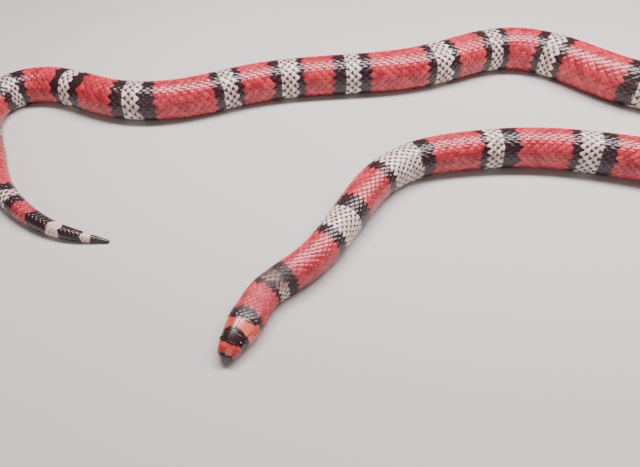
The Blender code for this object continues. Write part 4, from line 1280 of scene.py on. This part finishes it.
# Its hind edge: distance over the skin from the middle of the crown, and from the snout
ROSTRAL_EDGE_MM = ((0.0, 1.2), (0.9, 1.12), (1.75, 0.95), (3.55, 0.88), (4.8, 0.88))
# From the lip, as a share of the way to the middle, and its share of the rise
ROSTRAL_SIDES = ((0, -0.7), (0.04, 0.8), (0.10, 1.0))
# Rows drawn together over the tip: the share of the width left, and how far forward, in mm
ROSTRAL_TIP_MM = ((0.85, 0.07), (0.6, 0.13), (0.3, 0.16), (0.02, 0.17))


def make_rostral():
    stations = np.linspace(0, NOSE_ENDS, ROSTRAL_STATIONS)
    lips = [skin_map.share_at_height(s, mouth_height(s) + LIP_GAP_MM * MM) for s in stations]
    side = np.linspace(-1, 1, ROSTRAL_COLUMNS)
    reach = np.abs(side) * over_skin(NOSE_SIDE_MM, mouth_height(NOSE_SIDE_MM * MM) / MM + LIP_GAP_MM)
    ends = read_table(ROSTRAL_EDGE_MM, reach) * MM - SEAM / 2
    rows = [(ends - drawn, share) for drawn, share in RIM]
    rows += [(rows[-1][0] * t**1.5, 1.0) for t in np.linspace(0.9, 0, ROSTRAL_ROWS)]
    s, shares = np.stack([s for s, _ in rows]), np.array([share for _, share in rows])
    f = side * np.interp(s, stations, lips)
    lift = shares[:, None] * SHIELD_RISE * read_table(ROSTRAL_SIDES, 1 - np.abs(side))
    forward = -snake.frame(0.0)[1]
    points, s, f = draw_together(skin_map.at(s, f, lift), s, f, ROSTRAL_TIP_MM, forward)
    quads = grid_quads(len(points), ROSTRAL_COLUMNS, tube=False)[:, [0, 3, 2, 1]]
    build_on_skin("snout_shield", "head_shields", points.reshape(-1, 3), [quads], s, f, shield_finish)


make_rostral()

# %% [markdown]
# A snake has no eyelids: a clear scale covers each eye, so it looks wet and very dark. The pupil is round
# and black, in a thin ring of dark red-brown. One ball carries both as rings round its own axis, under a
# clear coat. It sits deep in the socket that the skin leaves, so that only a shallow cap of it shows. A
# glass dome over a flat iris would look the same from in front, but not from the side.
# %% Eyes
PUPIL_ENDS, IRIS_ENDS = 0.32, 0.50
PUPIL_BLACK, ROUND_THE_IRIS = (0.003, 0.003, 0.004, 1), (0.006, 0.004, 0.004, 1)
IRIS_DARK, IRIS_BROWN = (0.014, 0.004, 0.003, 1), (0.050, 0.014, 0.008, 1)
EYE_RINGS, EYE_COLUMNS, POLE_GAP = 40, 56, 0.001


def eye_finish():
    tree = Tree("eye")
    ring = tree.value("ring")
    iris = tree.mix(tree.noise(2400, 3.0, 0.7), IRIS_DARK, IRIS_BROWN)
    colour = tree.mix(tree.spread(ring, PUPIL_ENDS - 0.02, PUPIL_ENDS + 0.03, 0.0, 1.0), PUPIL_BLACK, iris)
    colour = tree.mix(tree.spread(ring, IRIS_ENDS - 0.12, IRIS_ENDS + 0.05, 0.0, 1.0), colour, ROUND_THE_IRIS)
    return tree.finish(Base_Color=colour, Roughness=0.04, Specular_IOR_Level=0.3, Coat_Weight=1.0,
                       Coat_IOR=1.4, Coat_Roughness=0.02)


def make_eye(side, word, material):
    centre = eye_centre(side)
    axis = skin_map.at(np.array([EYE_FROM_SNOUT]), np.array([side * EYE_SHARE]))[0] - centre
    axis = axis / np.linalg.norm(axis)
    across = np.cross(axis, (0, 0, 1.0))
    across = across / np.linalg.norm(across)
    over = np.cross(across, axis)
    polar = np.linspace(POLE_GAP, math.pi - POLE_GAP, EYE_RINGS)
    turns = np.arange(EYE_COLUMNS) * 2 * math.pi / EYE_COLUMNS
    p, t = (angle[..., None] for angle in np.meshgrid(polar, turns, indexing="ij"))
    ball = np.cos(p) * axis + np.sin(p) * (np.cos(t) * across + np.sin(t) * over)
    vertices = centre + ball.reshape(-1, 3) * EYE_RADIUS
    faces, rings = tube_faces(EYE_RINGS, EYE_COLUMNS), {"ring": p / (math.pi / 2)}
    piece = build_piece(f"eyeball_{word}", vertices, faces, rings, material)
    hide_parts(f"eye_{word}")


eye_material = eye_finish()
for side, word in ((1, "left"), (-1, "right")):
    make_eye(side, word, eye_material)
